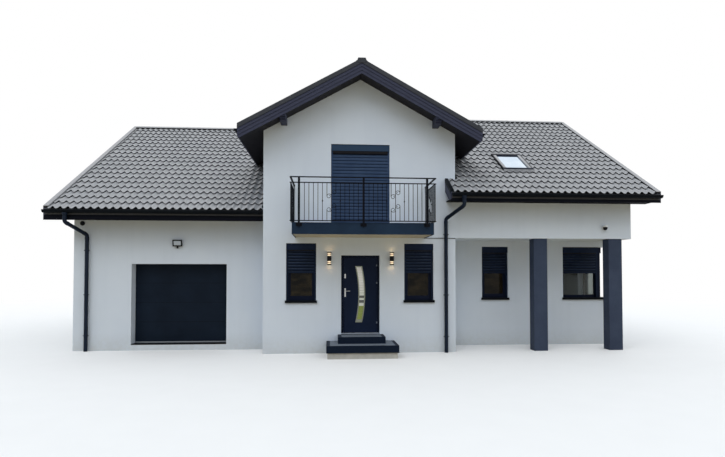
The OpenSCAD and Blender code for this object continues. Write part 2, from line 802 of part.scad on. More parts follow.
// Corner window: one frame along the porch wall, one round the gable, and a post at the corner
module corner_frame() {
    y0 = porch_depth + win_recess;
    x1 = right_len - win_recess;
    x0 = right_len - corner_x;
    y1 = porch_depth + corner_y;
    translate([0, 0, corner_z]) {
        span([x1 - corner_post, y0, sill_t], [x1, y0 + corner_post, win_h]);
        translate([(x0 + x1 - corner_post) / 2, y0, sill_t])
            frame_ring(x1 - corner_post - x0, win_h - sill_t, frame_w, frame_d);
        translate([x1, (y0 + corner_post + y1) / 2, sill_t]) rotate([0, 0, 90])
            frame_ring(y1 - y0 - corner_post, win_h - sill_t, frame_w, frame_d);
    }
}

// Frame on its sill, and a sash in it that stands back from the frame's face
sash_in = 12;
module framed_sash() translate([0, win_recess, sill_t]) {
    frame_ring(win_w, win_h - sill_t, frame_w, frame_d);
    translate([0, sash_in, frame_w - eps]) frame_ring(win_w - 2 * frame_w + 2 * eps,
        win_h - sill_t - 2 * frame_w + 2 * eps, sash_w + eps, frame_d - 2 * sash_in);
}

module window_frames() color(anthracite) {
    for (w = WINDOWS) at_window(w) framed_sash();
    corner_frame();
    translate([0, win_recess, balcony_sill_z]) frame_ring(balcony_door_w, balcony_door_h, frame_w, frame_d);
}

glass_y = win_recess + (frame_d - glass_t) / 2;
// Pane in a frame of width w that stands from low to high, its members of width edge
module pane(w, low, high, edge) span([-w / 2 + edge, glass_y, low + edge],
    [w / 2 - edge, glass_y + glass_t, high - edge]);
module window_glass() color(clear) {
    for (w = WINDOWS) at_window(w) pane(win_w, sill_t, win_h, frame_w + sash_w);
    translate([0, 0, balcony_sill_z]) pane(balcony_door_w, 0, balcony_door_h, frame_w);
    x1 = right_len - win_recess - corner_post;
    x0 = right_len - corner_x;
    translate([(x0 + x1) / 2, porch_depth, corner_z]) pane(x1 - x0, sill_t, win_h, frame_w);
    y0 = porch_depth + win_recess + corner_post;
    y1 = porch_depth + corner_y;
    translate([right_len, (y0 + y1) / 2, corner_z]) rotate([0, 0, 90])
        pane(y1 - y0, sill_t, win_h, frame_w);
}

// Sill that carries a frame, with a front edge that hangs down a little and runs past the opening
sill_hang = 15;
module sill(w, depth) {
    span([-w / 2, -eps, 0], [w / 2, depth, sill_t]);
    span([-w / 2 - sill_ear, -sill_out, -sill_hang], [w / 2 + sill_ear, 0, sill_t]);
}

module window_sills() color(anthracite) {
    for (w = WINDOWS) at_window(w) sill(win_w, win_recess + frame_d);
    translate([0, 0, corner_z]) {
        span([right_len - corner_x, porch_depth - eps, 0],
            [right_len + eps, porch_depth + win_recess + corner_post, sill_t]);
        span([right_len - win_recess - corner_post, porch_depth + win_recess, 0],
            [right_len + eps, porch_depth + corner_y, sill_t]);
        span([right_len - corner_x - sill_ear, porch_depth - sill_out, -sill_hang],
            [right_len + sill_out, porch_depth, sill_t]);
        span([right_len, porch_depth - sill_out, -sill_hang],
            [right_len + sill_out, porch_depth + corner_y + sill_ear, sill_t]);
    }
}

// Roller shutter in an opening of width w and height h, its curtain hanging below the box
curtain_in = 15;
module shutter(w, h, drop) {
    y0 = win_recess - shutter_box_d;
    span([-w / 2, y0, h - shutter_box_h], [w / 2, win_recess, h]);
    for (side = [-1, 1]) {
        x = side > 0 ? w / 2 - guide_w : -w / 2;
        span([x, win_recess - guide_d, sill_t], [x + guide_w, win_recess, h - shutter_box_h + eps]);
    }
    curtain_y = win_recess - guide_d + curtain_in;
    if (drop > 0) span([-w / 2 + guide_w - eps, curtain_y, h - shutter_box_h - drop],
        [w / 2 - guide_w + eps, curtain_y + curtain_t, h - shutter_box_h + eps]);
}

module roller_shutters() color(anthracite) {
    for (w = WINDOWS) at_window(w) shutter(win_w, win_h, w[3]);
    translate([0, 0, balcony_sill_z]) shutter(balcony_door_w, balcony_door_h,
        balcony_door_h - shutter_box_h - sill_t);
    x1 = right_len - win_recess - corner_post;
    x0 = right_len - corner_x;
    translate([(x0 + x1) / 2, porch_depth, corner_z]) shutter(x1 - x0, win_h, curtain_drop);
    y0 = porch_depth + win_recess + corner_post;
    y1 = porch_depth + corner_y;
    translate([right_len, (y0 + y1) / 2, corner_z]) rotate([0, 0, 90]) shutter(y1 - y0, win_h, 0);
}

// Balcony

module balcony_slab() color(concrete)
    span([-balcony_w / 2, -balcony_depth, room_top], [balcony_w / 2, 0, balcony_top]);

// Height of the trim above the balcony and of its drip edge below it
trim_up = 15;
module balcony_trim() color(anthracite) difference() {
    span([-balcony_w / 2 - trim_t, -balcony_depth - trim_t, room_top - trim_up],
        [balcony_w / 2 + trim_t, 0, balcony_top + trim_up]);
    span([-balcony_w / 2, -balcony_depth, room_top - far], [balcony_w / 2, far, far]);
}

rail_y = -balcony_depth - trim_t - post_w;
rail_x = balcony_w / 2 + trim_t + post_w;
rail_low = balcony_top + rail_low_h;
rail_top = balcony_top + rail_h;
rail_mid = rail_top - rail_space;
rail_t = 22;
strip_t = 16;
strip_h = 24;
bars_top = rail_mid - strip_h / 2;
ornament_up = 20;
bars_mid_z = (rail_low + rail_mid) / 2 + ornament_up;
bar_pitch = (post_x - 2 * bar_gap) / (2 * ceil(post_x / (2 * bar_step)));
knob_r = 17;
knob_half = 34;
knob_in = 1.5;
post_down = 90;
plate_t = 8;
plate_h = 75;
plate_half = 75;
plate_up = 10;

// Scroll of flat steel in (X, Z), its middle at the origin: it leaves a bar at the right, goes over
// the top to a bar at the left, and winds in from there
scroll_steps = 30;
scroll_end = 450;
scroll_w = 11;
function scroll_r(t, r) = t < 180 ? r : r * (1 - 0.72 * (t - 180) / (scroll_end - 180));
function scroll_line(r, side) = [for (i = [0 : scroll_steps]) let (t = i * scroll_end / scroll_steps,
    d = scroll_r(t, r) + side * scroll_w / 2) [d * cos(t), d * sin(t)]];
module scroll_shape(r) polygon(concat(scroll_line(r, 1), [for (i = [scroll_steps : -1 : 0])
    scroll_line(r, -1)[i]]));

// Upright bar at x between two heights
module upright(x, low, high) span([x - bar_w / 2, (rail_w - bar_w) / 2, low],
    [x + bar_w / 2, (rail_w + bar_w) / 2, high]);

// Ornament on a middle bar at x: broken bars on both sides, which end in scrolls, then bars with knobs
module ornament(x, pitch) {
    for (side = [-1, 1]) {
        shift = side * scroll_shift / 2;
        upright(x + side * pitch, bars_mid_z + shift + scroll_z, bars_top);
        upright(x + side * pitch, rail_low, bars_mid_z + shift - scroll_z);
        for (way = [-1, 1]) translate([x + side * pitch / 2, 0, bars_mid_z + shift + way * scroll_z])
            mirror([0, 0, way < 0 ? 1 : 0]) mirror([side > 0 ? 1 : 0, 0, 0])
            along_y((rail_w - scroll_w) / 2, (rail_w + scroll_w) / 2) scroll_shape(pitch / 2);
        translate([x + 2 * side * pitch, rail_w / 2, bars_mid_z]) knob();
    }
}

// Turned knob round a bar
module knob() for (way = [0, 1]) mirror([0, 0, way])
    cylinder(r1 = knob_r, r2 = bar_w / 2 - knob_in, h = knob_half);

// Rails from x0 to x1
module rails(x0, x1) {
    span([x0, 0, rail_top - rail_t], [x1, rail_w, rail_top]);
    for (z = [rail_mid - strip_h, rail_low])
        span([x0, (rail_w - strip_t) / 2, z], [x1, (rail_w + strip_t) / 2, z + strip_h]);
}

module railing_front() color(anthracite) translate([0, rail_y, 0]) {
    rails(-rail_x, rail_x);
    middle = round((post_x - 2 * bar_gap) / (2 * bar_pitch));
    for (i = [1 : 2 * middle - 1], side = [-1, 1]) if (abs(i - middle) != 1)
        upright(side * (bar_gap + i * bar_pitch), rail_low, bars_top);
    for (side = [-1, 1]) upright(side * (rail_x - rail_w / 2), rail_low, bars_top);
    for (side = [-1, 1]) ornament(side * post_x / 2, bar_pitch);
    for (x = [-post_x, 0, post_x]) {
        span([x - post_w / 2, 0, balcony_top - post_down], [x + post_w / 2, post_w, rail_top]);
        span([x - plate_half, post_w - plate_t, balcony_top - post_down + plate_up],
            [x + plate_half, post_w, balcony_top - post_down + plate_up + plate_h]);
    }
}

// Side panel of the railing from its front corner to the wall, along X in its own frame
module railing_side() {
    x0 = rail_w + eps;
    len = -rail_y - x0;
    count = 2 * ceil(len / (2 * bar_step));
    pitch = len / count;
    rails(x0, x0 + len);
    for (i = [1 : count - 1]) if (abs(i - count / 2) != 1)
        upright(x0 + i * pitch, rail_low, bars_top);
    ornament(x0 + len / 2, pitch);
    upright(x0 + bar_w / 2, rail_low, bars_top);
    upright(x0 + len - bar_w / 2, rail_low, rail_top - rail_t / 2);
}
module railing_left() color(anthracite) translate([-rail_x, rail_y, 0]) multmatrix([[0, 1, 0, 0],
    [1, 0, 0, 0], [0, 0, 1, 0]]) railing_side();
module railing_right() color(anthracite) translate([rail_x, rail_y, 0]) rotate([0, 0, 90]) railing_side();

// Steps

step_drop = 20;
footing_in = 30;
step_top = floor_h - step_drop;

// Pocket in a step's top, or with a gap of the seat's size the pale slab that lies in it
module tread(w, y0, y1, top, gap) span([-w / 2 + tread_border + gap, y0 + gap, top - tread_t + gap],
    [w / 2 - tread_border - gap, y1 - gap, top]);

module upper_tread(gap) tread(step_w, -step_d + tread_border / 2, 0, step_top, gap);
module lower_tread(gap) tread(lower_step_w, -lower_step_d + tread_border / 2, -step_d - tread_border / 2,
    step_top - step_rise, gap);

module entrance_steps() color(granite) {
    difference() {
        span([-step_w / 2, -step_d, 0], [step_w / 2, 0, step_top]);
        for (z = [0, eps]) translate([0, 0, z]) upper_tread(0);
    }
    difference() {
        union() {
            span([-lower_step_w / 2, -lower_step_d, footing_h],
                [lower_step_w / 2, 0, step_top - step_rise]);
            span([-lower_step_w / 2 + footing_in, -lower_step_d + footing_in, 0],
                [lower_step_w / 2 - footing_in, 0, footing_h + eps]);
        }
        span([-step_w / 2 - eps, -step_d - eps, -eps], [step_w / 2 + eps, eps, step_top]);
        for (z = [0, eps]) translate([0, 0, z]) lower_tread(0);
    }
    upper_tread(seat);
    lower_tread(seat);
}

// Entrance door

leaf_x = door_w / 2 - door_frame_w - leaf_gap;
leaf_out = 10;
leaf_y = door_recess - leaf_out;
leaf_low = floor_h + threshold_h + leaf_gap;
leaf_high = floor_h + door_h - door_frame_w - leaf_gap;
hinge_x = leaf_x + leaf_gap / 2;
hinge_strap = 2;
hinge_y = leaf_y - hinge_r - hinge_strap;

module door_frame() color(anthracite) {
    difference() {
        span([-door_w / 2, door_recess, floor_h], [door_w / 2, door_recess + door_frame_d,
            floor_h + door_h]);
        span([-door_w / 2 + door_frame_w, 0, floor_h + threshold_h], [door_w / 2 - door_frame_w, far,
            floor_h + door_h - door_frame_w]);
    }
    for (z = hinge_heights) hinge_frame_half(z);
}

// Hinges: the lower half with its pin is on the frame, the upper half on the leaf
hinge_end = 180;
hinge_up = 250;
hinge_heights = [leaf_low + hinge_end, (leaf_low + leaf_high) / 2 + hinge_up,
    leaf_high - hinge_end - 2 * hinge_l];
pin_r = hinge_r / 2;
pin_short = 8;
hinge_gap = 0.5;
strap_l = 24;
arm_x = 34;
arm_t = 6;
module hinge_frame_half(z) {
    translate([hinge_x, hinge_y, z]) {
        cylinder(r = hinge_r, h = hinge_l);
        cylinder(r = pin_r, h = 2 * hinge_l - pin_short);
    }
    span([hinge_x, hinge_y, z], [hinge_x + arm_x + arm_t, hinge_y + 2 * hinge_strap, z + hinge_l]);
    span([hinge_x + arm_x, hinge_y, z], [hinge_x + arm_x + arm_t, door_recess + eps, z + hinge_l]);
}

module door_hinges() color(steel) for (z = hinge_heights) difference() {
    low = z + hinge_l + hinge_gap;
    union() {
        translate([hinge_x, hinge_y, low]) cylinder(r = hinge_r, h = hinge_l);
        span([hinge_x - strap_l, hinge_y - hinge_strap, low], [hinge_x, leaf_y, low + hinge_l]);
    }
    translate([hinge_x, hinge_y, z]) cylinder(r = pin_r + seat, h = 2 * hinge_l + 2 * eps);
}

// Curved band drawn in (X, Z): two arcs of one centre, cut level at top and bottom
inlay_z = floor_h + inlay_mid_h;
inlay_fn = 720;
inlay_r = (pow(inlay_h / 2, 2) + pow(inlay_bulge, 2)) / (2 * inlay_bulge);
module inlay_shape(edge) intersection() {
    translate([inlay_bulge / 2 - inlay_r, inlay_z]) difference() {
        circle(inlay_r + inlay_w / 2 - edge, $fn = inlay_fn);
        circle(inlay_r - inlay_w / 2 + edge, $fn = inlay_fn);
    }
    translate([-inlay_w, inlay_z - inlay_h / 2 + edge]) square([3 * inlay_w, inlay_h - 2 * edge]);
}

module door_leaf() color(anthracite) difference() {
    span([-leaf_x, leaf_y, leaf_low], [leaf_x, leaf_y + leaf_t, leaf_high]);
    along_y(leaf_y - eps, leaf_y + leaf_t + eps) inlay_shape(inlay_edge / 2);
}

inlay_out = 5;
module door_inlay() color(steel) difference() {
    union() {
        along_y(leaf_y - inlay_out, leaf_y) inlay_shape(0);
        along_y(leaf_y - inlay_out, leaf_y + leaf_t) inlay_shape(inlay_edge / 2);
    }
    along_y(leaf_y - 2 * inlay_out, leaf_y + leaf_t + eps) inlay_shape(inlay_edge);
}

glass_in = 20;
module door_glass() color(clear) along_y(leaf_y + glass_in, leaf_y + glass_in + glass_t)
    inlay_shape(inlay_edge);

// Handle on its plate, and the lock's own plate above it
handle_x = -leaf_x + 45;
handle_plate = [38, 8, 230];
lock_plate = [38, 8, 115];
lock_up = 445;
lock_r = 9;
lever_r = 10;
lever_out = 60;
lever_up = 40;
module door_plate(size, z) span([handle_x - size[0] / 2, leaf_y - size[1], z - size[2] / 2],
    [handle_x + size[0] / 2, leaf_y, z + size[2] / 2]);
module door_handle() color(steel) {
    z = floor_h + handle_h;
    elbow = [handle_x, leaf_y - lever_out, z + lever_up];
    door_plate(handle_plate, z);
    bar([handle_x, leaf_y - handle_plate[1] + eps, z + lever_up], elbow, lever_r);
    translate(elbow) sphere(lever_r + eps);
    bar(elbow, elbow + [lever_l, 0, 0], lever_r);
    door_plate(lock_plate, z + lock_up);
    translate([handle_x, leaf_y, z + lock_up]) rotate([90, 0, 0]) cylinder(r = lock_r, h = 2 * lever_r);
}

// Garage door

seal_h = 40;
seal_in = 5;
sill_back_h = 20;
sill_front_h = 8;
garage_recess = wall_t - garage_inset - garage_panel_t;
module garage_door() color(anthracite) {
    y = garage_setback + garage_recess;
    x0 = garage_door_mid - garage_door_w / 2;
    seal_z = garage_floor_z + sill_back_h;
    span([x0, y, seal_z + seal_h], [x0 + garage_door_w, y + garage_panel_t,
        garage_floor_z + garage_door_h]);
    span([x0, y + seal_in, seal_z], [x0 + garage_door_w, y + garage_panel_t - seal_in, seal_z + seal_h]);
}

module garage_threshold() color(concrete) along_x(garage_door_mid - garage_door_w / 2,
    garage_door_mid + garage_door_w / 2) translate([garage_setback, garage_floor_z])
    polygon([[0, 0], [wall_t, 0], [wall_t, sill_back_h], [garage_recess, sill_back_h],
        [0, sill_front_h]]);

// Fittings on the walls

lamp_r = 58;
lamp_l = 340;
lamp_off = 95;
lamp_bracket = [70, 50, 110];
module wall_lamps() color(dark_timber) for (side = [-1, 1]) translate([side * lamp_x, 0, floor_h + lamp_h]) {
    translate([0, -lamp_off, -lamp_l / 2]) cylinder(r = lamp_r, h = lamp_l);
    span([-lamp_bracket[0] / 2, -lamp_bracket[1], -lamp_bracket[2] / 2],
        [lamp_bracket[0] / 2, 0, lamp_bracket[2] / 2]);
}

flood = [250, 40, 180];
flood_x = -40;
flood_h = 2460;
flood_tilt = 12;
flood_arm = [60, 75, 40];
eye_r = 26;
eye_l = 70;
vent_r = 65;
vent_t = 14;
vent_x = 220;
vent_h = 3000;
sensor_x = 780;
sensor_h = 2900;
sensor_r = 64;
sensor_base_t = 60;
dome_r = 52;
dome_out = 62;
dome_down = 24;
module wall_fittings() {
    // Floodlight over the garage door, tilted down on its arm, with its sensor below
    color(anthracite) translate([garage_door_mid + flood_x, garage_setback,
        floor_h + flood_h]) {
        translate([0, -flood_arm[1], 0]) rotate([flood_tilt, 0, 0])
            span([-flood[0] / 2, -flood[1] / 2, -flood[2] / 2], [flood[0] / 2, flood[1] / 2, flood[2] / 2]);
        span([-flood_arm[0] / 2, -flood_arm[1], -flood_arm[2] / 2], [flood_arm[0] / 2, 0, flood_arm[2] / 2]);
        translate([0, -flood_arm[1] + flood[1] / 2, -flood[2] / 2 - eye_l / 2])
            cylinder(r = eye_r, h = eye_l);
    }
    // Round vent beside the eave
    color(dark_timber) translate([-left_len + vent_x, garage_setback, floor_h + vent_h]) rotate([90, 0, 0])
        cylinder(r = vent_r, h = vent_t);
    // Domed sensor on the porch beam
    color(white_stucco) translate([right_len - sensor_x, 0, floor_h + sensor_h]) {
        rotate([90, 0, 0]) cylinder(r = sensor_r, h = sensor_base_t);
        translate([0, -dome_out, -dome_down]) sphere(dome_r);
    }
}

// The origin lies on the foundation's underside, under the main ridge and the centre front's middle
module place() translate([0, -main_depth / 2, 0]) children();

place() foundation_raft();
place() ground_floor();
place() upper_floor();
place() garage_floor();
place() front_wall_left();
place() front_wall_right();
place() door_lintel();
place() front_gable_wall();
place() main_left_wall();
place() centre_right_wall();
place() porch_wall();
place() porch_beam();
place() porch_columns();
place() right_gable_wall();
place() rear_wall();
place() garage_front_wall();
place() garage_left_wall();
place() garage_right_wall();
place() garage_rear_wall();
place() main_roof_front();
place() main_roof_rear();
place() garage_roof_front();
place() garage_roof_rear();
place() cross_roof_left();
place() cross_roof_right();
place() soffits();
place() gable_bargeboards();
place() verge_boards();
place() verge_flashings();
place() ridge_caps();
place() gable_purlins();
place() gutters();
place() downpipes();
place() skylight_frame();
place() skylight_glass();
place() window_frames();
place() window_glass();
place() window_sills();
place() roller_shutters();
place() balcony_slab();
place() balcony_trim();
place() railing_front();
place() railing_left();
place() railing_right();
place() entrance_steps();
place() door_frame();
place() door_leaf();
place() door_inlay();
place() door_glass();
place() door_handle();
place() door_hinges();
place() garage_door();
place() garage_threshold();
place() wall_lamps();
place() wall_fittings();
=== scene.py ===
import math

import bmesh
import bpy
from mathutils import Matrix, Vector


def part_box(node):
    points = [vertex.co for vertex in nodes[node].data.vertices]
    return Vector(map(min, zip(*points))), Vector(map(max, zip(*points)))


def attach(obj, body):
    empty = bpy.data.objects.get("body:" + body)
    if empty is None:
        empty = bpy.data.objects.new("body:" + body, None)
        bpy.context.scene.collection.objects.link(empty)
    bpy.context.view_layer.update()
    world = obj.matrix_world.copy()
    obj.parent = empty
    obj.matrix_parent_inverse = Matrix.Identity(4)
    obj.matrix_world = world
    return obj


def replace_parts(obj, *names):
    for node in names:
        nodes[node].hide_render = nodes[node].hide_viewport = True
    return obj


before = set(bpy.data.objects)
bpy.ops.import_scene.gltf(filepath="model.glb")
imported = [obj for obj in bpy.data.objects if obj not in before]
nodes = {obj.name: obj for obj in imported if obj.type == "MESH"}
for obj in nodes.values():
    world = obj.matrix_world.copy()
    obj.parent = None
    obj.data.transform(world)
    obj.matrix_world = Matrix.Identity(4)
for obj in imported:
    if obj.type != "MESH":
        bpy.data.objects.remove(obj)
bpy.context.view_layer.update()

# Driving dimensions, in metres and degrees, where a node's box doesn't give them

PITCH = math.radians(33.7)
CROSS_PITCH = math.radians(29)
ROOF_T = 0.25
BOARD_T = 0.03
RETURN = 0.25
WALL_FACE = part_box("front_gable_wall")[0].y
HALF_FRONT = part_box("front_gable_wall")[1].x
PORCH_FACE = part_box("porch_wall")[0].y
GARAGE_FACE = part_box("garage_front_wall")[0].y
ROOM_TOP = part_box("porch_beam")[0].z

# Roof tiles: one wave, one row, and the step at each row's lower edge

WAVE = 0.1917
ROW = 0.35
WAVE_H = 0.036
STEP = 0.039
LIP = 0.02
LIP_T = 0.006
SCALLOP = 0.06
WAVE_PARTS = 8
EAVE_LAP = 0.03
VALLEY_GAP = 0.06
TILE_BASE = 0.004
THIN_STRIP = 0.002

# Cappings and ridge sheets

CAP_W = 0.125
CAP_H = 0.079
CAP_GAP = 0.022
INNER_CAP = CAP_W + CAP_GAP
RETURN_CAP = 0.085
RIDGE_COVER = 0.11
RIDGE_HALF = 0.15
RIDGE_CROWN = 0.035
RIDGE_SHEET = 1.95
RIDGE_LAP = 0.06
FOLD = 0.006
SKIN = 0.001

# Places and heights that the finishes follow

BOARD_PITCH = 0.14
SOFFIT_PITCH = 0.12
GROOVE_W = 0.008
BALCONY_TILE = 0.45
SEAL_H = 0.04
SECTION_H = 0.55
FOOTING_H = 0.15
SLAB_IN = 0.09
UPPER_TREAD_Z = 0.45
UPPER_TREAD_IN = 0.30
UPPER_TREAD_BACK = 0.37
INLAY_PALE = (1.5, 1.9)
INLAY_GREEN = (1.245, 1.265)
INLAY_LINE = 0.045
INLAY_BANDS = ((1.333, 1.412), (1.466, 1.528))
INLAY_FOOT = 0.885
CORNER_WINDOW = (6.0, 6.2)
BALCONY_CURTAIN_TOP = 5.455


# Meshes

ALONG_X = Vector((1, 0, 0))
ALONG_Y = Vector((0, 1, 0))
FACING_FRONT = Matrix.Rotation(math.pi / 2, 4, "X")


def mesh_of(bm, name):
    """Turns a bmesh into a mesh and frees it."""
    mesh = bpy.data.meshes.new(name)
    bm.to_mesh(mesh)
    bm.free()
    return mesh


def link_object(name, data):
    thing = bpy.data.objects.new(name, data)
    bpy.context.scene.collection.objects.link(thing)
    return thing


def add_piece(name, bm, material, sharp=35, body="house", outwards=True):
    """Turns a bmesh into a smooth-shaded piece that rides on a body, its faces turned outwards."""
    if outwards:
        bmesh.ops.recalc_face_normals(bm, faces=bm.faces)
    mesh = mesh_of(bm, name)
    mesh.polygons.foreach_set("use_smooth", [True] * len(mesh.polygons))
    mesh.set_sharp_from_angle(angle=math.radians(sharp))
    mesh.materials.append(material)
    piece = link_object(name, mesh)
    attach(piece, body)
    return piece


def append(bm, part):
    """Adds one bmesh to another and frees it."""
    mesh = mesh_of(part, "part")
    bm.from_mesh(mesh)
    bpy.data.meshes.remove(mesh)


def add_bevelled(bm, low, high, bevel, matrix=Matrix.Identity(4)):
    """Adds a box with rounded edges between two corners, moved by a matrix."""
    part = bmesh.new()
    bmesh.ops.create_cube(part, size=1)
    size = Vector(high) - Vector(low)
    middle = (Vector(high) + Vector(low)) / 2
    bmesh.ops.transform(part, matrix=Matrix.Diagonal((*size, 1)), verts=part.verts)
    bmesh.ops.bevel(part, geom=part.edges[:], offset=bevel, segments=2, profile=0.5, affect="EDGES")
    bmesh.ops.transform(part, matrix=matrix @ Matrix.Translation(middle), verts=part.verts)
    append(bm, part)


def arc(radius, start, end, steps):
    """Points of a circle between two angles."""
    turns = [start + (end - start) * i / steps for i in range(steps + 1)]
    return [(radius * math.cos(t), radius * math.sin(t)) for t in turns]


def circle(radius, steps):
    """Points round a whole circle, each once."""
    return arc(radius, 0, 2 * math.pi, steps)[:-1]


def mirrored(points, way):
    """A section with its first measure turned round where way is -1."""
    return [(way * a, b) for a, b in points]


def bridge(bm, start, end, count):
    """Adds a count of faces between two rows of vertices; a row of one vertex is a pole."""
    for i in range(count):
        j = (i + 1) % max(len(start), len(end))
        corners = (start[i % len(start)], start[j % len(start)], end[j % len(end)], end[i % len(end)])
        bm.faces.new(tuple(dict.fromkeys(corners)))


def add_rings(bm, rings):
    """Adds a closed form from rings of vertices."""
    for start, end in zip(rings, rings[1:]):
        bridge(bm, start, end, len(start))
    bm.faces.new(rings[0][::-1])
    bm.faces.new(rings[-1])


def add_lathe(bm, profile, matrix, steps=32):
    """Adds the turned form of a profile of (radius, height) points about the Z axis, moved by a matrix."""
    rings = []
    for radius, height in profile:
        points = circle(radius, steps) if radius else [(0, 0)]
        rings.append([bm.verts.new(matrix @ Vector((x, y, height))) for x, y in points])
    for below, above in zip(rings, rings[1:]):
        bridge(bm, below, above, steps)


def drum(radius, low, high):
    """Profile of a plain drum."""
    return [(0, low), (radius, low), (radius, high), (0, high)]


def add_section(bm, section, path, across=ALONG_Y):
    """Adds a bar along a path, its section a list of (across, up) points that stay upright."""
    add_rings(bm, [[bm.verts.new(Vector(p) + across * a + Vector((0, 0, b))) for a, b in section]
                   for p in path])


def rounded_path(points, radius, parts=8):
    """A path through points, each inner corner turned into a bend of about a radius."""
    points = [Vector(p) for p in points]
    path = [points[0]]
    for before, corner, after in zip(points, points[1:], points[2:]):
        back = (before - corner).normalized()
        on = (after - corner).normalized()
        reach = radius / math.tan(back.angle(on) / 2)
        for i in range(parts + 1):
            t = i / parts
            path.append(corner + back * reach * (1 - t) ** 2 + on * reach * t ** 2)
    return path + [points[-1]]


def add_tube(bm, path, radii, steps=20):
    """Adds a round tube along a path, with a radius for each point."""
    path = [Vector(p) for p in path]
    along = (path[1] - path[0]).normalized()
    side = along.orthogonal().normalized()
    rings = []
    for i, point in enumerate(path):
        ahead = (path[min(i + 1, len(path) - 1)] - path[max(i - 1, 0)]).normalized()
        side = (along.rotation_difference(ahead) @ side).normalized()
        along = ahead
        cross = along.cross(side)
        rings.append([bm.verts.new(point + side * a + cross * b) for a, b in circle(radii[i], steps)])
    add_rings(bm, rings)


def add_collar(bm, at, way, radius, length, lip=0.003):
    """Adds a short sleeve with softened ends, its middle at a point."""
    at, way = Vector(at), Vector(way).normalized()
    ends = [-length / 2, -length / 2 + lip, length / 2 - lip, length / 2]
    add_tube(bm, [at + way * e for e in ends], [radius - lip, radius, radius, radius - lip])


def box_piece(name, boxes, material, bevel=0.003, matrix=Matrix.Identity(4)):
    """A piece of rounded boxes, each given by two corners."""
    bm = bmesh.new()
    for low, high in boxes:
        add_bevelled(bm, low, high, bevel, matrix)
    return add_piece(name, bm, material)


def bar_piece(name, bars, material, sharp=25):
    """A piece of bars, each given by its section, its path and the section's way across."""
    bm = bmesh.new()
    for section, path, across in bars:
        add_section(bm, section, path, across)
    return add_piece(name, bm, material, sharp)


def clip(bm, point, normal):
    """Removes what lies on the side of a plane that its normal points to."""
    geometry = bm.verts[:] + bm.edges[:] + bm.faces[:]
    bmesh.ops.bisect_plane(bm, geom=geometry, plane_co=point, plane_no=normal, clear_outer=True)


# Materials

class Nodes:
    """A node tree, with short calls to add nodes and link their inputs."""

    def __init__(self, tree):
        self.tree = tree

    def link(self, value, socket):
        if isinstance(value, bpy.types.NodeSocket):
            self.tree.links.new(value, socket)
        elif socket.type == "RGBA":
            socket.default_value = (*value, 1)
        else:
            socket.default_value = value

    def add(self, kind, inputs, **settings):
        """Adds a node, with what its inputs hold or are linked to."""
        node = self.tree.nodes.new(kind)
        for key, value in settings.items():
            setattr(node, key, value)
        for key, value in inputs.items():
            self.link(value, node.inputs[key])
        return node

    def math(self, operation, *values):
        return self.add("ShaderNodeMath", dict(enumerate(values)), operation=operation).outputs[0]

    def times(self, a, b):
        return self.math("MULTIPLY", a, b)

    def above(self, value, limit):
        return self.math("GREATER_THAN", value, limit)

    def below(self, value, limit):
        return self.math("LESS_THAN", value, limit)

    def ramp(self, value, low=0.3, high=0.7, to_low=0.0, to_high=1.0):
        """Maps low to high, as a rule a noise's middle, onto to_low to to_high, held level outside."""
        inputs = dict(enumerate((value, low, high, to_low, to_high)))
        return self.add("ShaderNodeMapRange", inputs).outputs[0]

    def axis_of(self, source, name):
        return self.add("ShaderNodeSeparateXYZ", {0: source}).outputs[name]

    def seen(self):
        """1 for what the camera sees, mirrored and through glass too, and 0 for light that falls on it."""
        path = self.add("ShaderNodeLightPath", {}).outputs
        looks = self.math("MAXIMUM", path["Is Camera Ray"], path["Is Glossy Ray"])
        return self.math("MAXIMUM", looks, path["Is Transmission Ray"])

    def fade(self, factor, a, b):
        """Goes from one surface to another."""
        return self.add("ShaderNodeMixShader", {0: factor, 1: a, 2: b}).outputs[0]


class Shader(Nodes):
    """A material's node tree around its Principled shader."""

    def __init__(self, name):
        self.material = bpy.data.materials.new(name)
        self.material.use_nodes = True
        super().__init__(self.material.node_tree)
        self.bsdf = self.tree.nodes["Principled BSDF"]
        self.position = self.add("ShaderNodeTexCoord", {}).outputs["Object"]

    def mix(self, factor, a, b):
        return self.add("ShaderNodeMix", {0: factor, 6: a, 7: b}, data_type="RGBA").outputs[2]

    def scaled(self, x, y, z):
        """The position, stretched by a factor along each axis."""
        return self.add("ShaderNodeMapping", {"Vector": self.position, "Scale": (x, y, z)}).outputs[0]

    def noise(self, scale, detail=2.0, vector=None):
        inputs = {"Vector": vector or self.position, "Scale": scale, "Detail": detail}
        return self.add("ShaderNodeTexNoise", inputs).outputs["Fac"]

    def grains(self, scale):
        """Distance to the nearest of scattered grains, about 1 / scale metres apart."""
        inputs = {"Vector": self.position, "Scale": scale}
        return self.add("ShaderNodeTexVoronoi", inputs).outputs["Distance"]

    def spread(self, value, to_low, to_high):
        """Maps a noise's middle onto to_low to to_high."""
        return self.ramp(value, to_low=to_low, to_high=to_high)

    def axis(self, name):
        return self.axis_of(self.position, name)

    def facing(self, name):
        """How far a face looks along an axis, from -1 to 1."""
        return self.axis_of(self.add("ShaderNodeNewGeometry", {}).outputs["Normal"], name)

    def lines(self, value, pitch, width):
        """1 on lines of a width, a pitch apart along a value, and 0 between them."""
        return self.below(self.math("PINGPONG", value, pitch / 2), width / 2)

    def bump(self, height, distance, strength):
        node = self.add("ShaderNodeBump", {"Height": height, "Distance": distance, "Strength": strength})
        self.link(node.outputs[0], self.bsdf.inputs["Normal"])

    def finish(self, colour, roughness, gloss=0.5, metallic=0.0, **uniform):
        values = {"Base Color": colour, "Roughness": roughness, "Specular IOR Level": gloss,
                  "Metallic": metallic, **uniform}
        for key, value in values.items():
            self.link(value, self.bsdf.inputs[key])
        return self.material


